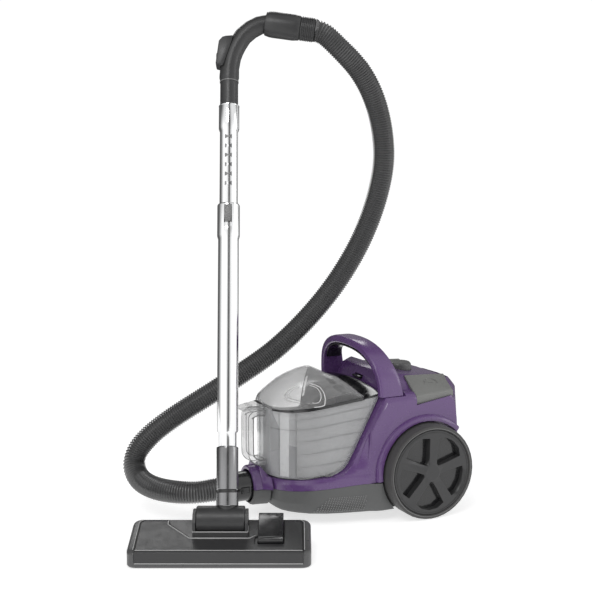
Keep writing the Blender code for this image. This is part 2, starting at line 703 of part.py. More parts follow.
wheel(-1, "right")
wheel(1, "left")

# ---------------------------------------------------------------- caster
WHEEL_BACK = CASTER_X + 0.0075
fork = rod("caster_fork", [(0.0220, 0.0262), (0.0220, 0.0290), (0.00300, 0.0290),
                           (0.00300, 0.0335)], CHARCOAL, canister,
           origin=(CASTER_X, 0, 0), seg=24)
cheeks = []
for side in (-1, 1):
    ys = sorted((side * 0.0088, side * 0.0112))
    cheeks.append(box(f"cheek_{'left' if side > 0 else 'right'}",
                      (WHEEL_BACK - 0.0060, ys[0], 0.0070), (WHEEL_BACK + 0.0060, ys[1], 0.0270),
                      None, canister, cutter=True))
fork_bore = rod("fork_bore", [(0.00205, -0.02), (0.00205, 0.02)], None, canister, "Y",
                (WHEEL_BACK, 0, 0.0115), 20, cutter=True)
cut(fork, cheeks[0], "UNION")
cut(fork, cheeks[1], "UNION")
cut(fork, fork_bore)
caster_wheel = rod("caster_wheel", [
    (0.0020, -0.0125), (0.0020, -0.0080), (0.0100, -0.0080), (0.0115, -0.0065),
    (0.0115, 0.0065), (0.0100, 0.0080), (0.0020, 0.0080), (0.0020, 0.0125)], RUBBER, canister,
    "Y", (WHEEL_BACK, 0, 0.0115), 20)

# ---------------------------------------------------------------- dust bin
RIM_REAR_Z = 0.2207
RIM_SLOPE = 0.1350
BIN_NOSE = [(-0.2582, 0.0), (-0.2575, 0.0150), (-0.2543, 0.0320), (-0.2490, 0.0490),
            (-0.2394, 0.0650), (-0.2295, 0.0764), (-0.2110, 0.0890), (-0.1849, 0.0958)]
BIN_REAR = [(0.0873, -0.1735), (0.0908, -0.1595), (0.0968, -0.1480), (0.1060, -0.1398),
            (0.1633, -0.1086), (0.2207, -0.0790)]


def rim_z(x):
    return RIM_REAR_Z + (x + 0.0765) * RIM_SLOPE


def bin_outline(rear, inset=0.0, dish=0.0):
    """Half of the bin's plan, nose to rear middle; dish hollows the rear edge forwards."""
    mid = -0.1600
    half = []
    for x, y in BIN_NOSE:
        px = x + inset * min((mid - x) / 0.06, 1.0)
        py = y - inset * min(y / 0.05, 1.0)
        half.append((min(px, rear - inset - 0.0100), py))
    side = 0.0958 - inset
    wide = 0.1030 - inset
    x1 = rear - inset
    half.append((lerp(half[-1][0], x1, 0.35), lerp(side, wide, 0.35)))
    half.append((lerp(half[-2][0], x1, 0.75), lerp(side, wide, 0.75)))
    half.append((x1 - 0.0050, wide))
    half.append((x1 - 0.0010, wide - 0.0020))
    half.append((x1, wide - 0.0070))
    for share in (0.75, 0.5, 0.25, 0.0):
        half.append((x1 - dish * (1 - share * share), (wide - 0.0070) * share))
    return half


def both_sides(half, height):
    ring = [(x, -y, height(x, y)) for x, y in half]
    return ring + [(x, y, height(x, y)) for x, y in half[-2:0:-1]]


def bin_ring(z, inset=0.0, extra=0.0):
    """Ring of the bin wall, parallel to the shelf low down and to the rim at the top."""
    share = (z - 0.0873) / (0.2207 - 0.0873)
    rear = table(BIN_REAR, z)
    for _ in range(4):
        rear = table(BIN_REAR, lerp(deck_z(rear) + GAP, rim_z(rear), share))
    half = bin_outline(rear, inset)
    return both_sides(half, lambda x, y: lerp(deck_z(x) + GAP + extra, rim_z(x), share))


bin_levels = [0.0873, 0.0908, 0.0968, 0.1060, 0.1633, 0.2207]
outer = [bin_ring(z) for z in bin_levels]
inner = [bin_ring(z, 0.0022, 0.0022) for z in bin_levels[::-1]]
bin_shell = loft("bin_shell", outer + inner, CLEAR, canister)

LID_REAR = -0.1110
LID_DISH = 0.0030
LID_MID = -0.1740
DOME = [(-0.2620, 0.0), (-0.2450, 0.0115), (-0.2250, 0.0225), (-0.2000, 0.0325),
        (-0.1750, 0.0390), (-0.1550, 0.0410), (-0.1400, 0.0370), (-0.1250, 0.0260),
        (-0.1110, 0.0130)]


def lid_ring(scale, share, base=GAP, skirt=0.0060):
    """Ring of the lid: the rim outline scaled about its middle and raised to the dome."""
    half = bin_outline(LID_REAR, -0.0012, LID_DISH)
    shaped = [(LID_MID + (x - LID_MID) * scale, y * scale) for x, y in half]
    return both_sides(shaped, lambda x, y: rim_z(x) + base + skirt + table(DOME, x) * share)


LID_STEPS = [(1.0, 0.0, GAP, 0.0), (1.0, 0.0, GAP, 0.0050), (0.985, 0.08), (0.94, 0.26),
             (0.86, 0.48), (0.74, 0.70), (0.56, 0.87), (0.34, 0.955), (0.10, 0.98)]
LID_INNER = [(0.10, 0.98, GAP - 0.0024), (0.34, 0.955, GAP - 0.0024), (0.56, 0.87, GAP - 0.0024),
             (0.74, 0.70, GAP - 0.0024), (0.86, 0.48, GAP - 0.0024), (0.94, 0.26, GAP - 0.0024),
             (0.9720, 0.13, GAP - 0.0024), (0.9720, 0.0, GAP, 0.0)]
bin_lid = loft("bin_lid", [lid_ring(*step) for step in LID_INNER + LID_STEPS], CLEAR, canister,
               pivot=(-0.0745, 0, 0.2225))
seal_outer = [lid_ring(0.9610, 0.0, 0.0, z) for z in (0.0003, 0.0026)]
seal_inner = [lid_ring(0.9480, 0.0, 0.0, z) for z in (0.0026, 0.0003)]
bin_seal = loft("bin_seal", seal_outer + seal_inner, BLACK, canister, closed=True)

bar_rings = []
for step in range(17):
    y = lerp(-0.1010, 0.1010, step / 16)
    share = abs(y) / 0.1010
    ridge = lerp(0.2335, 0.2245, share ** 2.2)
    front = LID_REAR + 0.0016 + (0.0060 if share > 0.9 else 0.0)
    bar_rings.append([(x, y, z) for x, z in (
        (front, rim_z(front) + 0.0006), (-0.0745, rim_z(-0.0745) + 0.0006),
        (-0.0742, 0.2225), (-0.0752, lerp(0.2225, ridge, 0.75)), (-0.0785, ridge),
        (-0.0850, ridge - 0.0012), (-0.0930, lerp(0.2195, ridge, 0.55)),
        (front + 0.0015, rim_z(front) + 0.0022 + 0.0030 * (1 - share)))])
lid_bar = loft("lid_bar", bar_rings, BLACK, canister)

strap = [(-0.2596, 0, 0.1895), (-0.2680, 0, 0.1900), (-0.2800, 0, 0.1895),
         (-0.2860, 0, 0.1860), (-0.2880, 0, 0.1790), (-0.2880, 0, 0.1240), (-0.2865, 0, 0.1120),
         (-0.2805, 0, 0.1045), (-0.2720, 0, 0.1010), (-0.2660, 0, 0.1005), (-0.2596, 0, 0.1010)]
strap_rings = []
for k, p in enumerate(strap):
    here = Vector(p)
    run = (Vector(strap[min(k + 1, len(strap) - 1)]) - Vector(strap[max(k - 1, 0)])).normalized()
    out = Vector((run.z, 0, -run.x))
    strap_rings.append([here + out * a * 0.0050 + Vector((0, b * 0.0170, 0))
                        for a, b in ((-1, -1), (1, -1), (1, 1), (-1, 1))])
bin_handle = loft("bin_handle", strap_rings, CLEAR, canister)
bevel(bin_handle, 0.0012, 2)
lid_latch = prism("lid_latch", [
    (-0.3020, 0.1952), (-0.3030, 0.1975), (-0.3020, 0.2010), (-0.2720, 0.2060),
    (-0.2640, 0.2060), (-0.2640, 0.1965), (-0.2700, 0.1955)], -0.0150, 0.0150, CLEAR,
    canister, "Y", pivot=(-0.2650, 0, 0.2010))

CYCLONE = (-0.1780, 0)
cyclone_body = revolve("cyclone_body", [
    (0.0300, 0.1220), (0.0320, 0.1220), (0.0560, 0.1780), (0.0560, 0.2100), (0.0530, 0.2100),
    (0.0530, 0.1785)], SMOKE, canister, origin=(CYCLONE[0], 0, 0), seg=28)
cyclone_shroud = revolve("cyclone_shroud", [
    (0.0240, 0.1560), (0.0260, 0.1560), (0.0260, 0.2240), (0.0240, 0.2240)], CHARCOAL,
    canister, origin=(CYCLONE[0], 0, 0), seg=20)

# ---------------------------------------------------------------- controls on the body
bin_release = box("bin_release", (-0.0730, -0.0135, 0.2340), (-0.0570, 0.0135, 0.2375), BLACK,
                  canister, pivot=(-0.0570, 0, 0.2357))
bevel(bin_release, 0.0008, 2)
knob = rod("suction_knob", [
    (0.00400, 0.2280), (0.00400, 0.2389), (0.0222, 0.2389), (0.0226, 0.2430), (0.0218, 0.2515),
    (0.0190, 0.2550)], OLIVE, canister, origin=(KNOB_X, 0, 0), seg=24)


def pedal(name, side):
    """Foot pedal: top sloping outwards and down, with a skirt on its outer edge."""
    rings = []
    for share, pull in ((0.0, 0.0012), (0.02, 0.0), (0.98, 0.0), (1.0, 0.0012)):
        skirt = lerp(0.2026, 0.2143, share)
        edge = lerp(0.2185, 0.2230, share)
        crest = lerp(0.2470, 0.2430, share)
        section = [(0.0768, 0.2000, 0.0665), (0.0768, crest - 0.0012, 0.0665),
                   (0.0790, crest, 0.0660), (0.0955, lerp(crest, edge, 0.42), 0.0625),
                   (0.1190, edge + 0.0008, 0.0598), (0.1213, edge - 0.0016, 0.0595),
                   (0.1213, skirt, 0.0595), (0.1180, 0.2000, 0.0597)]
        ring = []
        for y, z, tail in section:
            low = z <= 0.2145
            ring.append((lerp(-0.0165, tail, share), side * y, z - (0.0 if low else pull)))
        rings.append(ring)
    return loft(name, rings, OLIVE, canister, pivot=(0.0250, side * 0.0980, 0.2200))


pedal("power_pedal", -1)
pedal("rewind_pedal", 1)

# ---------------------------------------------------------------- hose connector and hose
connector = revolve("hose_connector", [
    (0.0222, -0.2610), (0.0262, -0.2610), (0.0264, -0.2880), (0.0264, -0.3160),
    (0.0256, -0.3200), (0.0240, -0.3230), (0.0240, -0.3330), (0.0210, -0.3330),
    (0.0210, -0.3000), (0.0222, -0.2960)], BLACK, canister, "X", (0, 0, INLET_Z), 28,
    pivot=(-0.2700, 0, INLET_Z))
button_hole = box("connector_hole", (-0.3105, -0.0400, INLET_Z - 0.0055),
                  (-0.2955, -0.0150, INLET_Z + 0.0055), None, canister, cutter=True)
cut(connector, button_hole)
connector_button = box("connector_button", (-0.3100, -0.0280, INLET_Z - 0.0050),
                       (-0.2960, -0.0225, INLET_Z + 0.0050), CHARCOAL, canister)
bevel(connector_button, 0.0010, 2)

# ---------------------------------------------------------------- wand
neck_sleeve = revolve("neck_sleeve", [
    (0.0152, 0.0475), (0.0172, 0.0475), (0.0178, 0.0500), (0.0180, 0.1140), (0.0176, 0.1164),
    (0.0152, 0.1164)], GUNMETAL, wand, seg=32)
lower_tube = revolve("lower_tube", [
    (0.0138, 0.0520), (0.0149, 0.0520), (0.0149, 0.1390), (TUBE_R, 0.1415), (TUBE_R, 0.4660),
    (COLLAR_R, 0.4720), (COLLAR_R, 0.5255), (COLLAR_R - 0.0010, 0.5273), (0.01578, 0.5273),
    (0.01578, 0.1440), (0.0138, 0.1400)], CHROME, wand, seg=32)
button_cut = box("tube_button_cut", (-0.0066, -0.0300, 0.4850), (0.0066, -0.0100, 0.5235), None,
                 wand, cutter=True)
cut(lower_tube, button_cut)
tube_button = prism("tube_button", [
    (-0.0048, 0.4935), (0.0048, 0.4935), (0.0062, 0.5040), (0.0062, 0.5225), (-0.0062, 0.5225),
    (-0.0062, 0.5040)], -0.0216, -0.0165, BLACK, wand, "Y", pivot=(0, -0.0190, 0.5080))
upper_tube = revolve("upper_tube", [
    (0.0146, 0.3000), (INNER_R, 0.3000), (INNER_R, 0.6580), (SOCKET_R, 0.6640),
    (SOCKET_R, 0.7040), (SOCKET_R - 0.0006, 0.7057), (0.0161, 0.7057), (0.0161, 0.6640),
    (0.0146, 0.6600)], CHROME, wand, seg=32)

BEND = [(0.0, 0.6700), (0.0, 0.7142), (0.0, 0.7490), (0.0, 0.7530), (0.0, 0.7580), (0.0, 0.7620),
        (0.0006, 0.7760), (0.0040, 0.7950), (0.0088, 0.8090), (0.0146, 0.8213),
        (0.0242, 0.8370), (0.0380, 0.8496), (0.0530, 0.8578), (0.0650, 0.8605),
        (0.0778, 0.8587)]
BEND_R = [0.0157, 0.0157, 0.0157, 0.0160, 0.0172, 0.0172, 0.0168, 0.0166, 0.0165, 0.0165,
          0.0165, 0.0165, 0.0162, 0.0157, 0.0155]
handle_pipe = tube("handle_pipe", [(x, 0, z) for x, z in BEND], lambda i: BEND_R[i], 0.0022,
                   CHARCOAL, wand, 16)
# The swivel collar sits on the end of the bend, turned by the swivel's own axis.
SWIVEL_AT = Vector((0.0640, 0, 0.8608))
SWIVEL_DROP = math.radians(8.8)
swivel_x = Vector((math.cos(SWIVEL_DROP), 0, -math.sin(SWIVEL_DROP)))
swivel_z = Vector((math.sin(SWIVEL_DROP), 0, math.cos(SWIVEL_DROP)))
swivel_turn = Matrix((swivel_x, Vector((0, 1, 0)), swivel_z)).transposed().to_4x4()
swivel = empty("swivel_frame", wand.matrix_world @ Matrix.Translation(SWIVEL_AT) @ swivel_turn)
swivel_collar = revolve("swivel_collar", [
    (0.0178, 0.0000), (0.0205, 0.0000), (0.0226, 0.0080), (0.0230, 0.0140), (0.0230, 0.0500),
    (0.0216, 0.0600), (0.0205, 0.0620), (0.01778, 0.0620), (0.01778, 0.0180), (0.0178, 0.0170)],
    CHARCOAL, swivel, "X", (0, 0, 0), 24)
hose_cuff = revolve("hose_cuff", [
    (0.0150, 0.0300), (0.0177, 0.0300), (0.0177, 0.0625), (0.0212, 0.0628), (0.0212, 0.0860),
    (0.0202, 0.0880), (0.0150, 0.0880)], CHARCOAL, swivel, "X", (0, 0, 0), 24)

# The hose leaves the cuff in line with it and comes back down to the canister's inlet.
CUFF_END = swivel.matrix_world @ Vector((0.0892, 0, 0))
CUFF_RUN = (swivel.matrix_world.to_3x3() @ Vector((1, 0, 0))).normalized()
HOSE_ROUTE = [
    CUFF_END + CUFF_RUN * 0.006, CUFF_END + CUFF_RUN * 0.0125, (0.1290, 0.0885, 0.8183),
    (0.1547, 0.0871, 0.7947), (0.1796, 0.0862, 0.7599), (0.1988, 0.0876, 0.7193),
    (0.2106, 0.0882, 0.6708), (0.2144, 0.0913, 0.6181), (0.2056, 0.1016, 0.5537),
    (0.1857, 0.1105, 0.4926), (0.1573, 0.1177, 0.4373), (0.1189, 0.1242, 0.3825),
    (0.0691, 0.1301, 0.3287), (0.0117, 0.1348, 0.2805), (-0.0440, 0.1394, 0.2461),
    (-0.1066, 0.1475, 0.2095), (-0.1591, 0.1601, 0.1775), (-0.2010, 0.1690, 0.1492),
    (-0.2305, 0.1779, 0.1203), (-0.2467, 0.1763, 0.0921), (-0.2439, 0.1534, 0.0662),
    (-0.2261, 0.1178, 0.0567), (-0.1992, 0.0885, 0.0545), (-0.1679, 0.0679, 0.0545),
    (-0.1360, 0.0610, 0.0575), (-0.1180, 0.0610, 0.0575)]
hose = tube("hose", [CUFF_END] + smooth_path(HOSE_ROUTE, 2), HOSE_R, HOSE_WALL, RUBBER, None, 10)

RELIEF = [(-0.0235, 0.7790), (-0.0100, 0.7760), (0.0020, 0.8120), (0.0080, 0.8330),
          (-0.0060, 0.8320), (-0.0120, 0.8300), (-0.0178, 0.8230)]
relief_housing = prism("relief_housing", RELIEF, -0.0165, 0.0120, CHARCOAL, wand, "Y")
bevel(relief_housing, 0.0025, 2)
pipe_cut_rings = sweep_rings([(x, 0, z) for x, z in BEND[5:12]], 0.0175, 16)
pipe_cut = loft("pipe_cut", pipe_cut_rings, None, wand, cutter=True)
slider_cut = box("slider_cut", (-0.0300, -0.0060, 0.7860), (-0.0185, 0.0060, 0.8120), None, wand,
                 cutter=True)
cut(relief_housing, pipe_cut)
cut(relief_housing, slider_cut)
relief = box("relief_slider", (-0.0225, -0.0055, 0.7900), (-0.0188, 0.0055, 0.8040), GREY, wand)
bevel(relief, 0.0008, 1)

# ---------------------------------------------------------------- floor head
def frame_top(y):
    return 0.0265 + (y + 0.0600) * 0.200


HEAD_FRONT = -0.0633
HEAD_REAR = 0.0400
HEAD_HALF = 0.1452


def head_ring(inset, height):
    outline = rounded_box(HEAD_HALF - inset, (HEAD_REAR - HEAD_FRONT) / 2 - inset, 0.0140, 6,
                          (0.0, (HEAD_REAR + HEAD_FRONT) / 2))
    return [(x, y, height(y)) for x, y in outline]


head_body = loft("head_frame_shell", [
    head_ring(0.0012, lambda y: 0.0010),
    head_ring(0.0, lambda y: 0.0030),
    head_ring(0.0, lambda y: frame_top(y) - 0.0045),
    head_ring(0.0016, lambda y: frame_top(y) - 0.0014),
    head_ring(0.0045, frame_top)], CHARCOAL, head)
head_hollow = box("head_hollow", (-0.1380, -0.0568, -0.010), (0.1380, 0.0285, 0.0175), None,
                  head, cutter=True)
head_duct = rod("head_duct", [(0.0190, 0.010), (0.0190, 0.060)], None, head, "Z",
                (0, 0, 0), 24, cutter=True)
YOKE_Y = (-0.0235, 0.0270)
yoke_pocket = box("yoke_pocket", (-0.0447, YOKE_Y[0] - 0.0004, 0.0240),
                  (0.0447, YOKE_Y[1] + 0.0004, 0.080), None, head, cutter=True)
COVER = [(-0.0642, 0.0085), (-0.0642, 0.0262), (-0.0605, 0.0287), (0.0290, 0.0466),
         (0.0290, 0.0425), (-0.0570, 0.0253), (-0.0602, 0.0225), (-0.0602, 0.0085)]
cover_pocket = prism("cover_pocket", [
    (-0.0800, 0.0080), (-0.0800, 0.0700), (0.0295, 0.0700), (0.0295, 0.0422),
    (-0.0569, 0.0249), (-0.0598, 0.0222), (-0.0598, 0.0080)], -0.1325, 0.1325, None, head, "X",
    cutter=True)
NOTCH = [(-0.0870, 0.0600), (-0.0870, 0.0170), (-0.0490, -0.0246), (0.0470, -0.0246),
         (0.0600, -0.0130), (0.0600, 0.0600)]
notch_keep = prism("notch_keep", [(x * 1.0, y) for x, y in NOTCH], 0.010, 0.100, None, head,
                   cutter=True)
cut(cover_pocket, notch_keep)
notch_floor = prism("notch_floor", [(-0.0600, 0.0205), (-0.0600, 0.0700), (0.0500, 0.0700),
                                    (0.0500, 0.0436)], -0.0780, 0.0560, None, head, "X",
                    cutter=True)
switch_pocket = box("switch_pocket", (0.0597, -0.0405, 0.0180), (0.1013, 0.0345, 0.090), None,
                    head, cutter=True)
roller_pockets = []
for side, word in ((-1, "left"), (1, "right")):
    cx = side * 0.1150
    roller_pockets.append(box(f"roller_pocket_{word}", (cx - 0.0085, 0.0290, -0.010),
                              (cx + 0.0085, 0.0385, 0.0165), None, head, cutter=True))
cut(head_body, head_hollow)
cut(head_body, head_duct)
cut(head_body, cover_pocket)
cut(head_body, yoke_pocket)
cut(head_body, switch_pocket)
cut(head_body, roller_pockets[0])
cut(head_body, roller_pockets[1])

cover = prism("head_cover", COVER, -0.1320, 0.1320, CHARCOAL, head, "X")
notch_cut = prism("notch_cut", [(-0.0876, 0.0600), (-0.0876, 0.0168), (-0.0493, -0.0252),
                                (0.0472, -0.0252), (0.0606, -0.0133), (0.0606, 0.0600)],
                  0.0, 0.1, None, head, cutter=True)
cut(cover, notch_cut)
cover_switch = box("cover_switch", (0.0560, -0.0408, 0.0), (0.1016, 0.0800, 0.1), None, head,
                   cutter=True)
cut(cover, cover_switch)

sole = box("sole_plate", (-0.1376, -0.0564, 0.0), (0.1376, 0.0281, 0.0030), STEEL, head)
sole_slot = box("sole_slot", (-0.1150, -0.0300, -0.01), (0.1150, -0.0060, 0.01), None, head,
                cutter=True)
brush_slot = box("brush_slot", (-0.1210, -0.0525, -0.01), (0.1210, -0.0465, 0.01), None, head,
                 cutter=True)
cut(sole, sole_slot)
cut(sole, brush_slot)
brush = box("brush_bar", (-0.1200, -0.0520, 0.0012), (0.1200, -0.0470, 0.0110), BLACK, head)

yoke = box("pivot_yoke", (-0.0443, YOKE_Y[0], 0.0244), (0.0443, YOKE_Y[1], 0.0455), CHARCOAL,
           head, pivot=(0, 0, PIVOT_Z))
yoke_bore = rod("yoke_bore", [(0.0229, -0.0394), (0.0229, 0.0394)], None, head, "X",
                (0, 0, PIVOT_Z), 32, cutter=True)
yoke_duct = rod("yoke_duct", [(0.0170, 0.010), (0.0170, 0.060)], None, head, "Z", (0, 0, 0), 24,
                cutter=True)
yoke_pin = rod("yoke_pin", [(0.00405, -0.0600), (0.00405, 0.0600)], None, head, "X",
               (0, 0, PIVOT_Z), 32, cutter=True)
cut(yoke, yoke_bore)
cut(yoke, yoke_duct)
yoke_ears = []
for side, word in ((-1, "left"), (1, "right")):
    xs = sorted((side * 0.0396, side * 0.0443))
    yoke_ears.append(prism(f"yoke_ear_{word}", [
        (-0.0225, 0.0400), (0.0225, 0.0400), (0.0225, 0.0600), (0.0150, 0.0720),
        (0.0, 0.0760), (-0.0150, 0.0720), (-0.0225, 0.0600)], xs[0], xs[1], None, head, "X",
        cutter=True))
cut(yoke, yoke_ears[0], "UNION")
cut(yoke, yoke_ears[1], "UNION")
cut(yoke, yoke_pin)

neck = rod("pivot_housing", [(0.00400, -0.0435), (0.00400, -0.0390), (0.0210, -0.0390),
                             (0.0225, -0.0375), (0.0225, 0.0375), (0.0210, 0.0390),
                             (0.00400, 0.0390), (0.00400, 0.0435)], CHARCOAL, head, "X",
           (0, 0, PIVOT_Z), 32)
neck_pipe = rod("neck_pipe", [(0.0158, 0.0050), (0.0158, 0.0440), (0.0156, 0.0472)], None,
                wand, seg=32, cutter=True)
neck_bore = rod("neck_bore", [(0.0130, 0.0120), (0.0130, 0.0600)], None, wand, seg=28,
                cutter=True)
neck_mouth = rod("neck_mouth", [(0.0130, -0.0400), (0.0130, 0.0140)], None, head, "Z",
                 (0, 0, PIVOT_Z), 28, cutter=True)
cut(neck, neck_pipe, "UNION")
cut(neck, neck_bore)
cut(neck, neck_mouth)

SWITCH_X = (0.0603, 0.1007)
SWITCH = [(-0.0395, 0.0310), (-0.0390, 0.0400), (-0.0350, 0.0440), (0.0120, 0.0545),
          (0.0300, 0.0600), (0.0335, 0.0560), (0.0335, 0.0480), (0.0020, 0.0330)]
switch = prism("foot_switch", SWITCH, *SWITCH_X, BLACK, head, "X",
               pivot=(0.0805, -0.0020, 0.0330))
bevel(switch, 0.0012, 2)

for side, word in ((-1, "left"), (1, "right")):
    rod(f"head_roller_{word}", [
        (0.0018, side * 0.1150 - 0.0078), (0.0018, side * 0.1150 - 0.0070),
        (0.0040, side * 0.1150 - 0.0070), (0.0045, side * 0.1150 - 0.0060),
        (0.0045, side * 0.1150 + 0.0060), (0.0040, side * 0.1150 + 0.0070),
        (0.0018, side * 0.1150 + 0.0070), (0.0018, side * 0.1150 + 0.0078)], RUBBER, head, "X",
        (0, 0.0338, 0.0045), 16)
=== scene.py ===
"""Looks of the cylinder vacuum cleaner.

Refined copies of the CAD nodes, fine detail, materials, light and camera, in metres.
"""
import json
import math

import bmesh
import bpy
from mathutils import Matrix, Vector

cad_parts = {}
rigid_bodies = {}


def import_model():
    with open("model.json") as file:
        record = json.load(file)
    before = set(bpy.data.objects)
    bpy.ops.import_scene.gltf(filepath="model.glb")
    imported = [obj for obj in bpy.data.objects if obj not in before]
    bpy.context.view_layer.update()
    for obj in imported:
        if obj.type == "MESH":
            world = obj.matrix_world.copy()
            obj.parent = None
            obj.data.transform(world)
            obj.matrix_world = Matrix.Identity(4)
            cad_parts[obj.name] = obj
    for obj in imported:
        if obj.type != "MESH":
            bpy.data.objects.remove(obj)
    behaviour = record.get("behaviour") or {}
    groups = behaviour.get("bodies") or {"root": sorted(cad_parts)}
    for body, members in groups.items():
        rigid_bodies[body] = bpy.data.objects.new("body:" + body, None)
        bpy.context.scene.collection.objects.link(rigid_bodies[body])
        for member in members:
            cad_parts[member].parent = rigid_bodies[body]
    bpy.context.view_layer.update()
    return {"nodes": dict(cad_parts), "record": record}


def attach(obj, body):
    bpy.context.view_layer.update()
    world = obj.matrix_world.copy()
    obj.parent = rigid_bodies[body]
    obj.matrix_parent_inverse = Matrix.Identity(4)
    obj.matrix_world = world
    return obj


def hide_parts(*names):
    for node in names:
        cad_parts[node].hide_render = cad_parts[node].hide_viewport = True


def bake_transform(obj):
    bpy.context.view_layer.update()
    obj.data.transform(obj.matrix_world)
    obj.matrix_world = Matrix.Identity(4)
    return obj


for old in list(bpy.data.objects):
    bpy.data.objects.remove(old)
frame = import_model()

AXLE = Vector((0.216, 0.061, 0.0))
WAND_FOOT = Vector((-0.1744, -0.0963, 0.058))
VIEW_TURN = math.radians(-25.26)
WAND_LEAN = math.radians(20.0)
WAND_SIDE_LEAN = -0.0078
HEAD_SHIFT = -0.010
WHEEL_R = 0.0845
WHEEL_OUT = 0.1526
HOSE_R = 0.0202
GAP = 0.0003


# ---------------------------------------------------------------- materials
def look(name, color, rough=0.45, metal=0.0, grain=900.0, bump=0.05, shift=0.10, wear=0.35,
         coat=0.0, alpha=1.0, ior=1.5, stretch=(1.0, 1.0, 1.0), sheen=0.0):
    """Procedural finish: fine grain, cloudy roughness, slight colour drift and scuffed patches."""
    made = bpy.data.materials.new(name)
    made.use_nodes = True
    tree = made.node_tree
    shader = tree.nodes["Principled BSDF"]
    shader.inputs["Metallic"].default_value = metal
    shader.inputs["IOR"].default_value = ior
    shader.inputs["Coat Weight"].default_value = coat
    shader.inputs["Coat Roughness"].default_value = 0.12
    shader.inputs["Sheen Weight"].default_value = sheen
    place = tree.nodes.new("ShaderNodeTexCoord")
    spread = tree.nodes.new("ShaderNodeMapping")
    spread.inputs["Scale"].default_value = stretch
    tree.links.new(place.outputs["Object"], spread.inputs["Vector"])

    def noise(scale, detail, rough_of=0.55):
        cloud = tree.nodes.new("ShaderNodeTexNoise")
        cloud.inputs["Scale"].default_value = scale
        cloud.inputs["Detail"].default_value = detail
        cloud.inputs["Roughness"].default_value = rough_of
        tree.links.new(spread.outputs["Vector"], cloud.inputs["Vector"])
        return cloud

    def remap(source, low, high, a=0.0, b=1.0):
        node = tree.nodes.new("ShaderNodeMapRange")
        node.inputs["From Min"].default_value = a
        node.inputs["From Max"].default_value = b
        node.inputs["To Min"].default_value = low
        node.inputs["To Max"].default_value = high
        tree.links.new(source, node.inputs["Value"])
        return node.outputs["Result"]

    broad = noise(9.0, 3.0)
    smudge = noise(60.0, 5.0, 0.65)
    fine = noise(grain, 2.0)
    tint = tree.nodes.new("ShaderNodeMix")
    tint.data_type = "RGBA"
    tint.inputs["A"].default_value = (*[c * (1 - shift) for c in color], 1.0)
    tint.inputs["B"].default_value = (*[min(c * (1 + shift), 1.0) for c in color], 1.0)
    tree.links.new(broad.outputs["Fac"], tint.inputs["Factor"])
    scuff = tree.nodes.new("ShaderNodeMix")
    scuff.data_type = "RGBA"
    scuff.inputs["B"].default_value = (*[c * 0.92 + 0.02 for c in color], 1.0)
    tree.links.new(remap(smudge.outputs["Fac"], 0.0, wear, 0.55, 0.75), scuff.inputs["Factor"])
    tree.links.new(tint.outputs["Result"], scuff.inputs["A"])
    tree.links.new(scuff.outputs["Result"], shader.inputs["Base Color"])
    tree.links.new(remap(smudge.outputs["Fac"], max(rough - 0.05, 0.02), rough + 0.08, 0.3, 0.7),
                   shader.inputs["Roughness"])
    relief = tree.nodes.new("ShaderNodeBump")
    relief.inputs["Strength"].default_value = bump
    relief.inputs["Distance"].default_value = 0.0004
    tree.links.new(fine.outputs["Fac"], relief.inputs["Height"])
    tree.links.new(relief.outputs["Normal"], shader.inputs["Normal"])
    # Clear pieces turn more opaque towards their outline, so their pale colour there is a painted
    # reflection.
    if alpha < 1.0:
        edge = tree.nodes.new("ShaderNodeLayerWeight")
        edge.inputs["Blend"].default_value = 0.35
        tree.links.new(remap(edge.outputs["Facing"], alpha, min(alpha + 0.45, 1.0)),
                       shader.inputs["Alpha"])
    return made


LOOKS = {
    "purple": look("purple_gloss", (0.105, 0.050, 0.165), 0.24, grain=1500, bump=0.02, shift=0.06,
                   wear=0.2, coat=0.35),
    "grey": look("grey_grain", (0.090, 0.092, 0.092), 0.50, grain=2600, bump=0.18, shift=0.08),
    "charcoal": look("charcoal_satin", (0.030, 0.030, 0.031), 0.36, grain=1900, bump=0.10),
    "black": look("black_gloss", (0.012, 0.012, 0.013), 0.16, grain=1200, bump=0.02, coat=0.4),
    "rubber": look("rubber_matt", (0.045, 0.044, 0.044), 0.62, grain=2200, bump=0.30, sheen=0.1),
    "olive": look("olive_satin", (0.175, 0.177, 0.170), 0.42, grain=2400, bump=0.14, shift=0.07),
    "clear": look("clear_plastic", (0.80, 0.81, 0.82), 0.07, grain=500, bump=0.015, shift=0.03,
                  wear=0.15, alpha=0.16),
    "smoke": look("smoke_plastic", (0.64, 0.64, 0.64), 0.30, grain=800, bump=0.03, shift=0.05,
                  wear=0.15),
    "chrome": look("chrome_tube", (0.86, 0.865, 0.87), 0.10, metal=1.0, grain=700, bump=0.015,
                   shift=0.03, wear=0.1, stretch=(1.0, 1.0, 0.05)),
    "gunmetal": look("gunmetal_satin", (0.25, 0.25, 0.255), 0.18, metal=0.95, grain=2000,
                     bump=0.03),
    "steel": look("steel_brushed", (0.50, 0.50, 0.51), 0.34, metal=1.0, grain=900, bump=0.08,
                  stretch=(0.08, 1.0, 1.0)),
}
HOSE_LOOK = look("hose_satin", (0.074, 0.074, 0.075), 0.20, grain=1500, bump=0.05, coat=0.6)
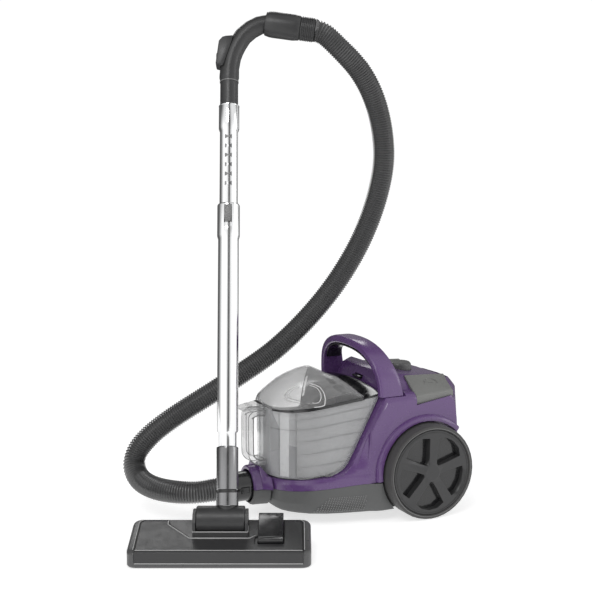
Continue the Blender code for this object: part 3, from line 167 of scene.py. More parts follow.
# A dark and a light grey for the bin's inner panels: painted shade on the sides, painted light on
# the chamfer facet.
BIN_SIDE_PAINTED_SHADE = look("bin_side_painted_shade", (0.22, 0.22, 0.22), 0.28, grain=700, bump=0.02, shift=0.05, wear=0.2,
             coat=0.5)
BIN_FACET_PAINTED_LIGHT = look("bin_facet_painted_light", (0.66, 0.66, 0.66), 0.25, grain=700, bump=0.02, shift=0.05, wear=0.2,
             coat=0.5)
LID_GLASS = look("lid_glass", (0.66, 0.66, 0.665), 0.08, grain=500, bump=0.015, shift=0.03,
                 wear=0.15, alpha=0.06)
HANDLE_GLASS = look("handle_glass", (0.42, 0.42, 0.425), 0.08, grain=500, bump=0.015,
                    shift=0.03, wear=0.15, alpha=0.16)
# A light and a dark copy of one lid panel: painted light in front of the crease, painted shade
# behind it.
LID_PAINTED_LIGHT = look("lid_painted_light", (0.95, 0.95, 0.95), 0.16, grain=600, bump=0.02, shift=0.04,
                 wear=0.15, coat=0.6)
LID_PAINTED_SHADE = look("lid_painted_shade", (0.045, 0.045, 0.045), 0.20, grain=600, bump=0.02, shift=0.05,
                wear=0.15, coat=0.6)
# A dark grey for lines, rings, ribs and dots, also used for painted shade lines.
EDGE = look("edge_line", (0.17, 0.17, 0.17), 0.30, grain=900, bump=0.04)
# A light grey for painted highlights along edges.
GLINT = look("edge_glint", (0.42, 0.42, 0.42), 0.22, grain=900, bump=0.03)
FRAME_LOOK = look("head_frame_grey", (0.075, 0.075, 0.076), 0.30, grain=900, bump=0.08)
WHITE = look("white_strip", (0.80, 0.80, 0.80), 0.35, grain=900, bump=0.03, shift=0.03)
# A near-black for grooves and seams, also used for painted shade lines.
DARK = look("dark_lines_and_painted_shade", (0.010, 0.010, 0.010), 0.45, grain=900, bump=0.10)


# ---------------------------------------------------------------- geometry helpers
def lerp(a, b, t):
    """The value a share t of the way from a to b."""
    return a + (b - a) * t


def table(points, at):
    """Value at a place in a list of (place, value), straight between its points."""
    if at <= points[0][0]:
        return points[0][1]
    for (a, p), (b, q) in zip(points, points[1:]):
        if at <= b:
            return lerp(p, q, (at - a) / (b - a))
    return points[-1][1]


def solid(name, verts, faces, material, body, matrix=None, smooth=30.0):
    """One mesh piece riding on a CAD body. Points are in the frame given by matrix."""
    mesh = bpy.data.meshes.new(name)
    place = matrix or Matrix.Identity(4)
    mesh.from_pydata([tuple(place @ Vector(v)) for v in verts], [], faces)
    work = bmesh.new()
    work.from_mesh(mesh)
    bmesh.ops.remove_doubles(work, verts=work.verts, dist=1e-7)
    bmesh.ops.recalc_face_normals(work, faces=work.faces)
    work.to_mesh(mesh)
    work.free()
    mesh.shade_smooth()
    mesh.set_sharp_from_angle(angle=math.radians(smooth))
    made = bpy.data.objects.new(name, mesh)
    bpy.context.scene.collection.objects.link(made)
    mesh.materials.append(material)
    if body:
        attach(made, body)
    return made


def grid_faces(rows, cols, wrap_rows=False, wrap_cols=True):
    """Four-sided faces of a grid of points stored row by row."""
    faces = []
    for i in range(rows if wrap_rows else rows - 1):
        for j in range(cols if wrap_cols else cols - 1):
            a = i * cols + j
            b = i * cols + (j + 1) % cols
            c = ((i + 1) % rows) * cols + (j + 1) % cols
            d = ((i + 1) % rows) * cols + j
            faces.append((a, b, c, d))
    return faces


def loft(name, rings, material, body, matrix=None, closed=False, smooth=30.0):
    """Skin through rings of equally many points, with its ends capped unless it is closed."""
    cols = len(rings[0])
    verts = [p for ring in rings for p in ring]
    faces = grid_faces(len(rings), cols, wrap_rows=closed)
    if not closed:
        faces.append(tuple(range(cols - 1, -1, -1)))
        faces.append(tuple(range((len(rings) - 1) * cols, len(rings) * cols)))
    return solid(name, verts, faces, material, body, matrix, smooth)


AXES = {
    "X": (Vector((1, 0, 0)), Vector((0, 1, 0)), Vector((0, 0, 1))),
    "Y": (Vector((0, 1, 0)), Vector((0, 0, 1)), Vector((1, 0, 0))),
    "Z": (Vector((0, 0, 1)), Vector((1, 0, 0)), Vector((0, 1, 0))),
}


def revolve(name, profile, material, body, axis="Z", origin=(0, 0, 0), matrix=None, seg=64,
            closed=True, smooth=30.0):
    """Turned shape from (radius, place along the axis) points."""
    direction, u, v = AXES[axis]
    start = Vector(origin)
    rings = []
    for radius, along in profile:
        rings.append([start + direction * along
                      + (u * math.cos(2 * math.pi * k / seg) + v * math.sin(2 * math.pi * k / seg))
                      * radius for k in range(seg)])
    return loft(name, rings, material, body, matrix, closed, smooth)


def box(name, low, high, material, body, matrix=None, soft=0.0):
    x0, y0, z0 = low
    x1, y1, z1 = high
    verts = [(x0, y0, z0), (x1, y0, z0), (x1, y1, z0), (x0, y1, z0),
             (x0, y0, z1), (x1, y0, z1), (x1, y1, z1), (x0, y1, z1)]
    faces = [(0, 3, 2, 1), (4, 5, 6, 7), (0, 1, 5, 4), (1, 2, 6, 5), (2, 3, 7, 6), (3, 0, 4, 7)]
    made = solid(name, verts, faces, material, body, matrix)
    if soft:
        soften(made, soft)
    return made


def soften(made, width, segments=3, angle=30.0):
    step = made.modifiers.new("soft_edges", "BEVEL")
    step.width = width
    step.segments = segments
    step.limit_method = "ANGLE"
    step.angle_limit = math.radians(angle)
    step.harden_normals = True
    return made


def frames_along(points):
    """Each point of a path with its direction and two directions across it."""
    side = None
    made = []
    for i, p in enumerate(points):
        before = points[max(i - 1, 0)]
        after = points[min(i + 1, len(points) - 1)]
        run = (after - before).normalized()
        if side is None:
            side = run.cross(Vector((0, 0, 1)))
            if side.length < 0.1:
                side = run.cross(Vector((1, 0, 0)))
        side = (side - run * side.dot(run)).normalized()
        made.append((p, run, side, run.cross(side)))
    return made


def tube_along(name, points, radii, material, body, matrix=None, seg=24, smooth=50.0):
    """Round tube along a path, with a radius at each of its points."""
    rings = []
    for (p, _, side, other), r in zip(frames_along([Vector(q) for q in points]), radii):
        rings.append([p + (side * math.cos(2 * math.pi * k / seg)
                           + other * math.sin(2 * math.pi * k / seg)) * r for k in range(seg)])
    return loft(name, rings, material, body, matrix, False, smooth)


def smooth_path(points, per=4):
    """Smooth curve through the points, with per steps between two of them."""
    pts = [Vector(p) for p in points]
    pts = [pts[0] * 2 - pts[1]] + pts + [pts[-1] * 2 - pts[-2]]
    made = []
    for i in range(1, len(pts) - 2):
        a, b, c, d = pts[i - 1:i + 3]
        for k in range(per):
            t = k / per
            made.append(0.5 * ((2 * b) + (c - a) * t + (2 * a - 5 * b + 4 * c - d) * t * t
                               + (3 * b - a - 3 * c + d) * t ** 3))
    made.append(pts[-2])
    return made


def evenly(points, step):
    """Points at equal steps of arc length along a polyline."""
    lengths = [0.0]
    for a, b in zip(points, points[1:]):
        lengths.append(lengths[-1] + (b - a).length)
    total = lengths[-1]
    count = max(int(round(total / step)), 2)
    made = []
    j = 0
    for k in range(count + 1):
        at = total * k / count
        while j < len(points) - 2 and lengths[j + 1] < at:
            j += 1
        part = (at - lengths[j]) / max(lengths[j + 1] - lengths[j], 1e-9)
        made.append(points[j].lerp(points[j + 1], min(max(part, 0), 1)))
    return made, total


# ---------------------------------------------------------------- frames
CAN = Matrix.Translation(AXLE)
right = Vector((math.cos(VIEW_TURN), math.sin(VIEW_TURN), 0))
back = Vector((-math.sin(VIEW_TURN), math.cos(VIEW_TURN), 0))
up = Vector((0, 0, 1))
wand_z = (right * WAND_SIDE_LEAN + back * math.sin(WAND_LEAN) + up * math.cos(WAND_LEAN))
wand_z.normalize()
wand_x = (right - wand_z * right.dot(wand_z)).normalized()
wand_y = wand_z.cross(wand_x)
WAND = Matrix.Translation(WAND_FOOT) @ Matrix((wand_x, wand_y, wand_z)).transposed().to_4x4()
HEAD_AT = WAND_FOOT + right * HEAD_SHIFT - up * WAND_FOOT.z
HEAD = Matrix.Translation(HEAD_AT) @ Matrix((right, back, up)).transposed().to_4x4()
SWIVEL_DROP = math.radians(8.8)
swivel_x = Vector((math.cos(SWIVEL_DROP), 0, -math.sin(SWIVEL_DROP)))
swivel_z = Vector((math.sin(SWIVEL_DROP), 0, math.cos(SWIVEL_DROP)))
SWIVEL = (WAND @ Matrix.Translation(Vector((0.0640, 0, 0.8608)))
          @ Matrix((swivel_x, Vector((0, 1, 0)), swivel_z)).transposed().to_4x4())


# ---------------------------------------------------------------- refined CAD nodes
record = frame["record"]
slot_of = {entry["node"]: entry["material_slot"] for entry in record["subparts"]}
body_of = {}
for body, members in record["behaviour"]["bodies"].items():
    for member in members:
        body_of[member] = body

SOFT_EDGE = {
    "upper_shell": 0.0016, "base_tub": 0.0012, "carry_handle": 0.0010, "head_frame_shell": 0.0010,
    "head_cover": 0.0012, "pivot_housing": 0.0008, "pivot_yoke": 0.0010, "power_pedal": 0.0014,
    "rewind_pedal": 0.0014, "foot_switch": 0.0010, "neck_sleeve": 0.0008, "swivel_collar": 0.0007,
    "snout_upper": 0.0010, "snout_lower": 0.0010, "hose_connector": 0.0008, "lid_latch": 0.0010,
    "relief_housing": 0.0005, "suction_knob": 0.0009, "lid_bar": 0.0009, "caster_fork": 0.0006,
}
CUSTOM = {"hose", "hose_cuff", "bin_shell", "bin_lid"}


def refined(node, angle=32.0):
    """A welded, softened copy of a CAD node that stands for it."""
    source = frame["nodes"][node]
    mesh = source.data.copy()
    mesh.materials.clear()
    work = bmesh.new()
    work.from_mesh(mesh)
    bmesh.ops.remove_doubles(work, verts=work.verts, dist=2e-6)
    bmesh.ops.dissolve_limit(work, angle_limit=math.radians(0.6), verts=work.verts,
                             edges=work.edges)
    bmesh.ops.recalc_face_normals(work, faces=work.faces)
    work.to_mesh(mesh)
    work.free()
    mesh.shade_smooth()
    mesh.set_sharp_from_angle(angle=math.radians(angle))
    made = bpy.data.objects.new(node + "_skin", mesh)
    bpy.context.scene.collection.objects.link(made)
    mesh.materials.append(LOOKS[slot_of[node]])
    if SOFT_EDGE.get(node):
        soften(made, SOFT_EDGE[node], 3, angle)
        made.modifiers["soft_edges"].use_clamp_overlap = True
    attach(made, body_of[node])
    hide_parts(node)
    return made


skins = {}
for node in sorted(frame["nodes"]):
    if node not in CUSTOM:
        skins[node] = refined(node)
skins["head_frame_shell"].data.materials[0] = FRAME_LOOK
skins["suction_knob"].data.materials[0] = FRAME_LOOK
for node in ("bin_handle", "lid_latch"):
    skins[node].data.materials[0] = HANDLE_GLASS

# ---------------------------------------------------------------- dust bin
FOOT_Z = 0.0873
RIM_REAR_Z = 0.2207
RIM_REAR_X = -0.0765
RIM_SLOPE = 0.1350
BIN_SIDE = 0.0958
BIN_WIDE = 0.1030
BIN_CORNER = 0.0070
BIN_WALL = 0.0022
HALF_POINTS = 17
BIN_NOSE = [(-0.2582, 0.0), (-0.2575, 0.0150), (-0.2543, 0.0320), (-0.2490, 0.0490),
            (-0.2394, 0.0650), (-0.2295, 0.0764), (-0.2110, 0.0890), (-0.1849, 0.0958)]
BIN_REAR = [(0.0873, -0.1735), (0.0908, -0.1595), (0.0968, -0.1480), (0.1060, -0.1398),
            (0.1633, -0.1086), (0.2207, -0.0790)]


def rim_z(x):
    """Height of the sloping rim at x."""
    return RIM_REAR_Z + (x - RIM_REAR_X) * RIM_SLOPE


def deck_z(x):
    """Height of the deck that the bin stands on, at x."""
    return 0.0882 + min(x + 0.1550, 0.0) * 0.1100


def bin_outline(rear, inset=0.0, dish=0.0):
    """Half of the bin's plan outline, from the nose round to the middle of its rear side."""
    mid = -0.1600
    half = []
    for x, y in BIN_NOSE:
        px = x + inset * min((mid - x) / 0.06, 1.0)
        py = y - inset * min(y / 0.05, 1.0)
        half.append((min(px, rear - inset - 0.0100), py))
    side = BIN_SIDE - inset
    wide = BIN_WIDE - inset
    x1 = rear - inset
    half.append((lerp(half[-1][0], x1, 0.35), lerp(side, wide, 0.35)))
    half.append((lerp(half[-2][0], x1, 0.75), lerp(side, wide, 0.75)))
    half.append((x1 - 0.0050, wide))
    half.append((x1 - 0.0010, wide - 0.0020))
    half.append((x1, wide - BIN_CORNER))
    for share in (0.75, 0.5, 0.25, 0.0):
        half.append((x1 - dish * (1 - share * share), (wide - BIN_CORNER) * share))
    return half


def both_sides(half, height):
    """Full ring from half an outline, each point at its height."""
    ring = [(x, -y, height(x, y)) for x, y in half]
    return ring + [(x, y, height(x, y)) for x, y in half[-2:0:-1]]


def bin_ring(z, inset=0.0, extra=0.0):
    """Ring round the bin at a level named by its height at the rear, lifted by extra."""
    share = (z - FOOT_Z) / (RIM_REAR_Z - FOOT_Z)
    rear = table(BIN_REAR, z)
    for _ in range(4):
        rear = table(BIN_REAR, lerp(deck_z(rear) + GAP, rim_z(rear), share))
    half = bin_outline(rear, inset)
    return both_sides(half, lambda x, y: lerp(deck_z(x) + GAP + extra, rim_z(x), share))


levels = [0.0873, 0.0890, 0.0908, 0.0940, 0.0968, 0.1010, 0.1060, 0.1250, 0.1440, 0.1633,
          0.1830, 0.2020, 0.2190, 0.2207]
outer = [bin_ring(z) for z in levels]
inner = [bin_ring(z, BIN_WALL, BIN_WALL) for z in levels[::-1]]
bin_skin = loft("bin_wall", outer + inner, LOOKS["clear"], "dust_bin", CAN, smooth=16.0)
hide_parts("bin_shell")

# Grey inner chamber behind the clear wall: side panels painted dark as shade, and a chamfer facet
# painted lighter as if lit.
PANEL_INSET = 0.0032
PANEL_LIFT = 0.0034
PANEL_DROP = 0.0006
PANEL_THICK = 0.0008
for side, word in ((-1, "right"), (1, "left")):
    for label, first, last, paint in (("facet", 3, 5, BIN_FACET_PAINTED_LIGHT), ("side", 5, 12, BIN_SIDE_PAINTED_SHADE)):
        rows = []
        for z in levels[:-1]:
            half = bin_ring(z, PANEL_INSET, PANEL_LIFT)[:HALF_POINTS]
            rows.append([(x, side * abs(y), h - PANEL_DROP) for x, y, h in half[first:last]])
        cols = len(rows[0])
        verts = [p for row in rows for p in row]
        count = len(verts)
        verts += [(x, y - side * PANEL_THICK, z) for x, y, z in verts]
        faces = grid_faces(len(rows), cols, wrap_cols=False)
        faces += [tuple(k + count for k in f[::-1]) for f in faces]
        solid(f"bin_{label}_{word}", verts, faces, paint, "dust_bin", CAN, 20.0)

# ---------------------------------------------------------------- lid
LID_REAR = -0.1110
LID_DISH = 0.0030
LID_MID = -0.1740
LID_SKIRT = 0.0060
LID_LIP = 0.0012
LID_HALF = bin_outline(LID_REAR, -LID_LIP, LID_DISH)
DOME = [(-0.2620, 0.0), (-0.2450, 0.0115), (-0.2250, 0.0225), (-0.2000, 0.0325),
        (-0.1750, 0.0390), (-0.1550, 0.0410), (-0.1400, 0.0370), (-0.1250, 0.0260),
        (-0.1110, 0.0130)]


def lid_ring(scale, share, base=GAP, skirt=LID_SKIRT):
    """Ring round the lid, scaled about its middle and raised by a share of the dome."""
    shaped = [(LID_MID + (x - LID_MID) * scale, y * scale) for x, y in LID_HALF]
    return both_sides(shaped, lambda x, y: rim_z(x) + base + skirt + table(DOME, x) * share)


LID_SHARE = [(0.10, 0.98), (0.34, 0.955), (0.56, 0.87), (0.74, 0.70), (0.86, 0.48), (0.94, 0.26),
             (0.985, 0.08), (1.0, 0.0)]
lid_scales = [1.0, 0.993, 0.985, 0.97, 0.955, 0.94, 0.92, 0.90, 0.88, 0.86, 0.83, 0.80, 0.77,
              0.74, 0.69, 0.64, 0.59, 0.54, 0.48, 0.42, 0.36, 0.30, 0.22, 0.14, 0.10]
outside = [lid_ring(1.0, 0.0, GAP, 0.0), lid_ring(1.0, 0.0, GAP, 0.0050)]
outside += [lid_ring(s, table(LID_SHARE, s)) for s in lid_scales[1:]]
inside = [lid_ring(s, table(LID_SHARE, s), GAP - 0.0020) for s in lid_scales[:3:-1]]
inside.append(lid_ring(0.9700, 0.0, GAP, 0.0))
lid_skin = loft("lid_dome", inside + outside, LID_GLASS, "bin_lid", CAN, smooth=34.0)
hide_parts("bin_lid")


def dome_height(x, y):
    """Height of the lid's outer surface over a plan point."""
    low, high = 0.0, 1.0
    for _ in range(30):
        mid = (low + high) / 2
        if inside_outline(x, y, mid):
            high = mid
        else:
            low = mid
    return rim_z(x) + GAP + LID_SKIRT + table(DOME, x) * table(LID_SHARE, max(high, 0.10))


def inside_outline(x, y, scale):
    """True where the plan point lies inside the lid outline scaled about its middle."""
    px = (x - LID_MID) / scale + LID_MID if scale > 1e-4 else 9.0
    py = abs(y) / scale if scale > 1e-4 else 9.0
    if px < LID_HALF[0][0] or px > max(a for a, b in LID_HALF):
        return False
    best = 0.0
    for (ax, ay), (bx, by) in zip(LID_HALF, LID_HALF[1:]):
        if min(ax, bx) - 1e-9 <= px <= max(ax, bx) + 1e-9 and abs(bx - ax) > 1e-9:
            best = max(best, ay + (by - ay) * (px - ax) / (bx - ax))
    return py <= best


def dome_panel(name, paint, x_of, y_low, y_high, lift, rows=26, cols=26):
    """Thin sheet that follows the dome between two lines across the lid."""
    verts = []
    for i in range(rows):
        y = lerp(y_low, y_high, i / (rows - 1))
        x0, x1 = x_of(y)
        for j in range(cols):
            x = lerp(x0, x1, j / (cols - 1))
            verts.append((x, y, dome_height(x, y) + lift))
    count = len(verts)
    verts += [(x, y, z - 0.0010) for x, y, z in verts]
    faces = grid_faces(rows, cols, wrap_cols=False)
    faces += [tuple(k + count for k in f[::-1]) for f in faces]
    rim = list(range(cols)) + [i * cols + cols - 1 for i in range(1, rows)]
    rim += [(rows - 1) * cols + j for j in range(cols - 2, -1, -1)]
    rim += [i * cols for i in range(rows - 2, 0, -1)]
    for a, b in zip(rim, rim[1:] + rim[:1]):
        faces.append((b, a, a + count, b + count))
    return solid(name, verts, faces, paint, "bin_lid", CAN, 40.0)


def nose_x(y, scale=0.93):
    """Front end of the lid's plan outline at width y."""
    w = abs(y) / scale
    at = LID_HALF[0][0]
    for (ax, ay), (bx, by) in zip(LID_HALF, LID_HALF[1:]):
        if ay <= w <= by and by > ay:
            at = ax + (bx - ax) * (w - ay) / (by - ay)
            break
    else:
        at = LID_REAR - 0.02
    return (at - LID_MID) * scale + LID_MID


CREASE_X, CREASE_SLOPE = -0.1740, 0.6250


def crease(y):
    """Where the lid turns from its front panel, painted light as if lit, to its rear panel, painted
    dark as shade.
    """
    return CREASE_X + CREASE_SLOPE * y


# Panels under the clear dome: painted light as if lit on the nose side of the duct, painted dark as
# shade behind it.
LID_LOW_Y = -0.0925
PANEL_DEPTH = -0.0026
front_low = LID_LOW_Y
while crease(front_low) - nose_x(front_low) < 0.003:
    front_low += 0.001
dome_panel("lid_panel_front", LID_PAINTED_LIGHT, lambda y: (nose_x(y), crease(y) - 0.0004), front_low,
           0.0900, PANEL_DEPTH)
dome_panel("lid_panel_rear", LID_PAINTED_SHADE, lambda y: (max(crease(y) + 0.0004, nose_x(y)),
                                                  max(-0.1165, crease(y) + 0.002)),
           LID_LOW_Y, 0.0880, PANEL_DEPTH)
# A white strip just behind the crease is a painted highlight on its ridge, and a dark line in the
# crease is painted shade.
dome_panel("lid_duct_painted_highlight", WHITE, lambda y: (crease(y) + 0.0020, crease(y) + 0.0062), -0.0640,
           -0.0150, -0.0021, 20, 4)
dome_panel("lid_crease_painted_shade", DARK, lambda y: (crease(y) + 0.0002, crease(y) + 0.0014), -0.0660,
           0.0300, -0.0020, 20, 4)

# Two raised concentric ring marks on the dome, each an oval in two open parts.
RING_X, RING_Y = -0.2065, -0.0620
RING_LONG, RING_WIDE = 0.0395, 0.0215
LONG_X, LONG_Y = 0.627, -0.779
WIDE_X, WIDE_Y = 0.430, 0.903
MARK_POINTS = 41
for index, (share, thick) in enumerate(((1.0, 0.0007), (0.80, 0.0006))):
    for part, (start, stop) in enumerate(((-62, 72), (108, 256))):
        path = []
        for k in range(MARK_POINTS):
            a = math.radians(lerp(start, stop, k / (MARK_POINTS - 1)))
            u, v = RING_LONG * share * math.cos(a), RING_WIDE * share * math.sin(a)
            x, y = RING_X + LONG_X * u + WIDE_X * v, RING_Y + LONG_Y * u + WIDE_Y * v
            path.append(Vector((x, y, dome_height(x, y) + 0.0002)))
        tube_along(f"lid_mark_{index + 1}_{part + 1}", path, [thick] * MARK_POINTS, WHITE,
                   "bin_lid", CAN, 8)
        # A dark grey copy beside each mark is its painted shadow.
        shade = [p + Vector((0.0009, 0.0005, -0.0001)) for p in path]
        tube_along(f"lid_mark_shade_{index + 1}_{part + 1}", shade, [thick * 0.7] * MARK_POINTS,
                   EDGE, "bin_lid", CAN, 8)

# Black band along the rim, thick beside the body and thin round the clear nose.
LOW_RING = lid_ring(1.0, 0.0, GAP, 0.0)
RIM_RINGS = (("right", LOW_RING[:HALF_POINTS]),
             ("left", [LOW_RING[0]] + LOW_RING[:HALF_POINTS - 2:-1]))
BAND_THIN, BAND_THICK, BAND_OUT = 0.0022, 0.0046, 0.0007
for word, ring in RIM_RINGS:
    rows = []
    for x, y, z in ring[2:15]:
        tall = lerp(BAND_THIN, BAND_THICK, min(max((x + 0.2550) / 0.030, 0), 1))
        dx = (x - LID_MID) * 0.004
        dy = math.copysign(BAND_OUT, y)
        rows.append([(x + dx, y + dy, z - 0.0001), (x + dx, y + dy, z + tall),
                     (x - dx * 0.2, y - dy * 0.2, z + tall + 0.0004), (x - dx, y - dy * 2, z)])
    loft(f"rim_band_{word}", rows, LOOKS["black"], "bin_lid", CAN, smooth=40.0)

# Level lines on the clear bin, dark lines along its creases that are painted shade, and a black
# line round its foot.
for index, z in enumerate((0.1120, 0.1370, 0.1620, 0.1860, 0.2060)):
    ring = bin_ring(z, -0.0003)
    start = 5 if index != 3 else 0
    path = [Vector(p) for p in ring[start:11]]
    tube_along(f"bin_level_{index + 1}", path, [0.00032] * len(path), EDGE, "dust_bin", CAN, 6)
# The crease lines are painted shade.
for at, word in ((3, "front"), (5, "rear")):
    path = [Vector(bin_ring(z, -0.0002)[at]) for z in levels[2:-1]]
    tube_along(f"bin_crease_{word}", path, [0.0004] * len(path), EDGE, "dust_bin", CAN, 6)
path = [Vector(p) for p in bin_ring(0.0885, -0.0004)[:11]]
tube_along("bin_foot_line", path, [0.0007] * len(path), LOOKS["black"], "dust_bin", CAN, 6)

# Outlines of the clear handle strap: painted shade along its near edges and painted highlights
# along its far edges.
STRAP = [(-0.2596, 0, 0.1895), (-0.2680, 0, 0.1900), (-0.2800, 0, 0.1895), (-0.2860, 0, 0.1860),
         (-0.2880, 0, 0.1790), (-0.2880, 0, 0.1240), (-0.2865, 0, 0.1120), (-0.2805, 0, 0.1045),
         (-0.2720, 0, 0.1010), (-0.2660, 0, 0.1005), (-0.2596, 0, 0.1010)]
strap_line = smooth_path(STRAP, 5)
for depth, radius, word in ((-0.0046, 0.0009, "outer"), (0.0046, 0.0006, "inner")):
    for side, place in ((-0.0168, "near"), (0.0168, "far")):
        path = []
        for p, run, _, _ in frames_along(strap_line):
            away = Vector((run.z, 0, -run.x))
            path.append(p + away * depth + Vector((0, side, 0)))
        # Near edges take the dark grey as painted shade, far edges the white as painted highlights.
        shade = EDGE if place == "near" else WHITE
        tube_along(f"strap_edge_{word}_{place}", path[1:-1], [radius] * (len(path) - 2), shade,
                   "dust_bin", CAN, 8)
box("latch_line", (-0.2950, -0.0148, 0.2015), (-0.2720, -0.0142, 0.2030), EDGE, "lid_latch", CAN)
box("latch_grip", (-0.2900, -0.0110, 0.2021), (-0.2830, 0.0110, 0.2046), WHITE, "lid_latch", CAN,
    0.0005)
box("latch_shade", (-0.2700, -0.0140, 0.2058), (-0.2645, 0.0140, 0.2066), DARK, "lid_latch", CAN)

# ---------------------------------------------------------------- hose
CUFF_END = SWIVEL @ Vector((0.0892, 0, 0))
CUFF_RUN = (SWIVEL.to_3x3() @ Vector((1, 0, 0))).normalized()
HOSE_ROUTE = [
    CUFF_END + CUFF_RUN * 0.006, CUFF_END + CUFF_RUN * 0.0125, (0.1290, 0.0885, 0.8183),
    (0.1547, 0.0871, 0.7947), (0.1796, 0.0862, 0.7599), (0.1988, 0.0876, 0.7193),
    (0.2106, 0.0882, 0.6708), (0.2144, 0.0913, 0.6181), (0.2056, 0.1016, 0.5537),
    (0.1857, 0.1105, 0.4926), (0.1573, 0.1177, 0.4373), (0.1189, 0.1242, 0.3825),
    (0.0691, 0.1301, 0.3287), (0.0117, 0.1348, 0.2805), (-0.0440, 0.1394, 0.2461),
    (-0.1066, 0.1475, 0.2095), (-0.1591, 0.1601, 0.1775), (-0.2010, 0.1690, 0.1492),
    (-0.2305, 0.1779, 0.1203), (-0.2467, 0.1763, 0.0921), (-0.2439, 0.1534, 0.0662),
    (-0.2261, 0.1178, 0.0567), (-0.1992, 0.0885, 0.0545), (-0.1679, 0.0679, 0.0545),
    (-0.1360, 0.0610, 0.0575), (-0.1180, 0.0610, 0.0575)]
SMOOTHING_STEP = 0.0040
SMOOTHING_PASSES = 24
hose_line, _ = evenly([CUFF_END] + smooth_path(HOSE_ROUTE, 8), SMOOTHING_STEP)
for _ in range(SMOOTHING_PASSES):
    inner_line = [(a + b * 2 + c) / 4 for a, b, c in zip(hose_line, hose_line[1:], hose_line[2:])]
    hose_line = [hose_line[0]] + inner_line + [hose_line[-1]]
# One more point keeps the hose's first stretch in line with the cuff.
hose_line.insert(1, CUFF_END + CUFF_RUN * 0.0015)
RIB_PITCH = 0.0044
RIB_DEPTH = 0.0024
STEPS_PER_RIB = 4
hose_points, hose_length = evenly(hose_line, RIB_PITCH / STEPS_PER_RIB)
radii = []
for k in range(len(hose_points)):
    wave = 0.5 + 0.5 * math.cos(2 * math.pi * k / STEPS_PER_RIB)
    radii.append(HOSE_R - RIB_DEPTH * (1 - wave))
hose = tube_along("hose_ribbed", hose_points, radii, HOSE_LOOK, None, None, 22, 70.0)
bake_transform(hose)
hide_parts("hose")

# Ribbed cuff at the wand end of the hose.
cuff_profile = [(0.0150, 0.0300), (0.0177, 0.0300), (0.0177, 0.0625), (0.0205, 0.0628)]
for k in range(7):
    x = 0.0640 + k * 0.0032
    cuff_profile += [(0.0212, x), (0.0212, x + 0.0016), (0.0201, x + 0.0020), (0.0201, x + 0.0030)]
cuff_profile += [(0.0200, 0.0880), (0.0150, 0.0880)]
cuff = revolve("hose_cuff_ribbed", cuff_profile, LOOKS["charcoal"], "hose_cuff", "X", (0, 0, 0),
               SWIVEL, 48)
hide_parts("hose_cuff")

# Flange that carries the snout back to the bin, below the way of the lifted bin.
FLANGE_FOOT = 0.0582
flange_rows = []
for step in range(7):
    x = lerp(-0.2755, -0.2596, step / 6)
    top = min(0.0955, 0.0766 + (-0.2582 - x) * 1.3333 - 0.0010)
    edge = lerp(0.0700, 0.0640, step / 6)
    shoulder = min(top, 0.0800)
    half = lerp(0.0360, 0.0475, step / 6)
    flange_rows.append([(x, -half, FLANGE_FOOT), (x, -half, edge), (x, -half * 0.86, shoulder),
                        (x, -half * 0.60, top), (x, half * 0.60, top),
                        (x, half * 0.86, shoulder), (x, half, edge), (x, half, FLANGE_FOOT)])
loft("snout_flange", flange_rows, LOOKS["purple"], "canister", CAN, smooth=40.0)


# ---------------------------------------------------------------- tub vents
def tub_y(x):
    """Half width of the tub at x."""
    return table([(-0.2178, 0.0935), (-0.1935, 0.1045), (-0.1670, 0.1125), (-0.1350, 0.1195),
                  (-0.1140, 0.1235), (-0.1010, 0.1290)], x)


DOT_ROWS = 9
DOT_ROW_STEP = 0.0030
DOT_PITCH = 0.0042
DOT_WIDE, DOT_TALL = 0.0012, 0.0011
dot_verts, dot_faces = [], []
for side in (-1, 1):
    for row in range(DOT_ROWS):
        z = 0.0262 + row * DOT_ROW_STEP
        first = lerp(-0.2050, -0.1800, row / (DOT_ROWS - 1))
        last = lerp(-0.1160, -0.1120, row / (DOT_ROWS - 1))
        count = int((last - first) / DOT_PITCH)
        for k in range(count):
            x = first + (k + 0.5 * (row % 2)) * DOT_PITCH
            y = side * (tub_y(x) + 0.0004 - 0.0006 * max(0.0400 - z, 0) / 0.014 * 1.2)
            slope = (tub_y(x + 0.002) - tub_y(x - 0.002)) / 0.004
            base = len(dot_verts)
            for depth in (-0.0006, 0.0002):
                for q in range(6):
                    a = math.pi * q / 3
                    dot_verts.append((x + DOT_WIDE * math.cos(a),
                                      y + side * (depth + slope * DOT_WIDE * math.cos(a)),
                                      z + DOT_TALL * math.sin(a)))
            ring = list(range(6))
            dot_faces.append(tuple(base + q for q in ring[::-1]))
            dot_faces.append(tuple(base + 6 + q for q in ring))
            for q in ring:
                dot_faces.append((base + q, base + (q + 1) % 6, base + 6 + (q + 1) % 6,
                                  base + 6 + q))
solid("tub_vent_dots", dot_verts, dot_faces, EDGE, "canister", CAN)


# ---------------------------------------------------------------- body details
def pedal_z(y):
    """Height of a mark on the sloping top of a pedal."""
    return lerp(0.2452, 0.2212, (abs(y) - 0.0790) / 0.0400) + 0.0003


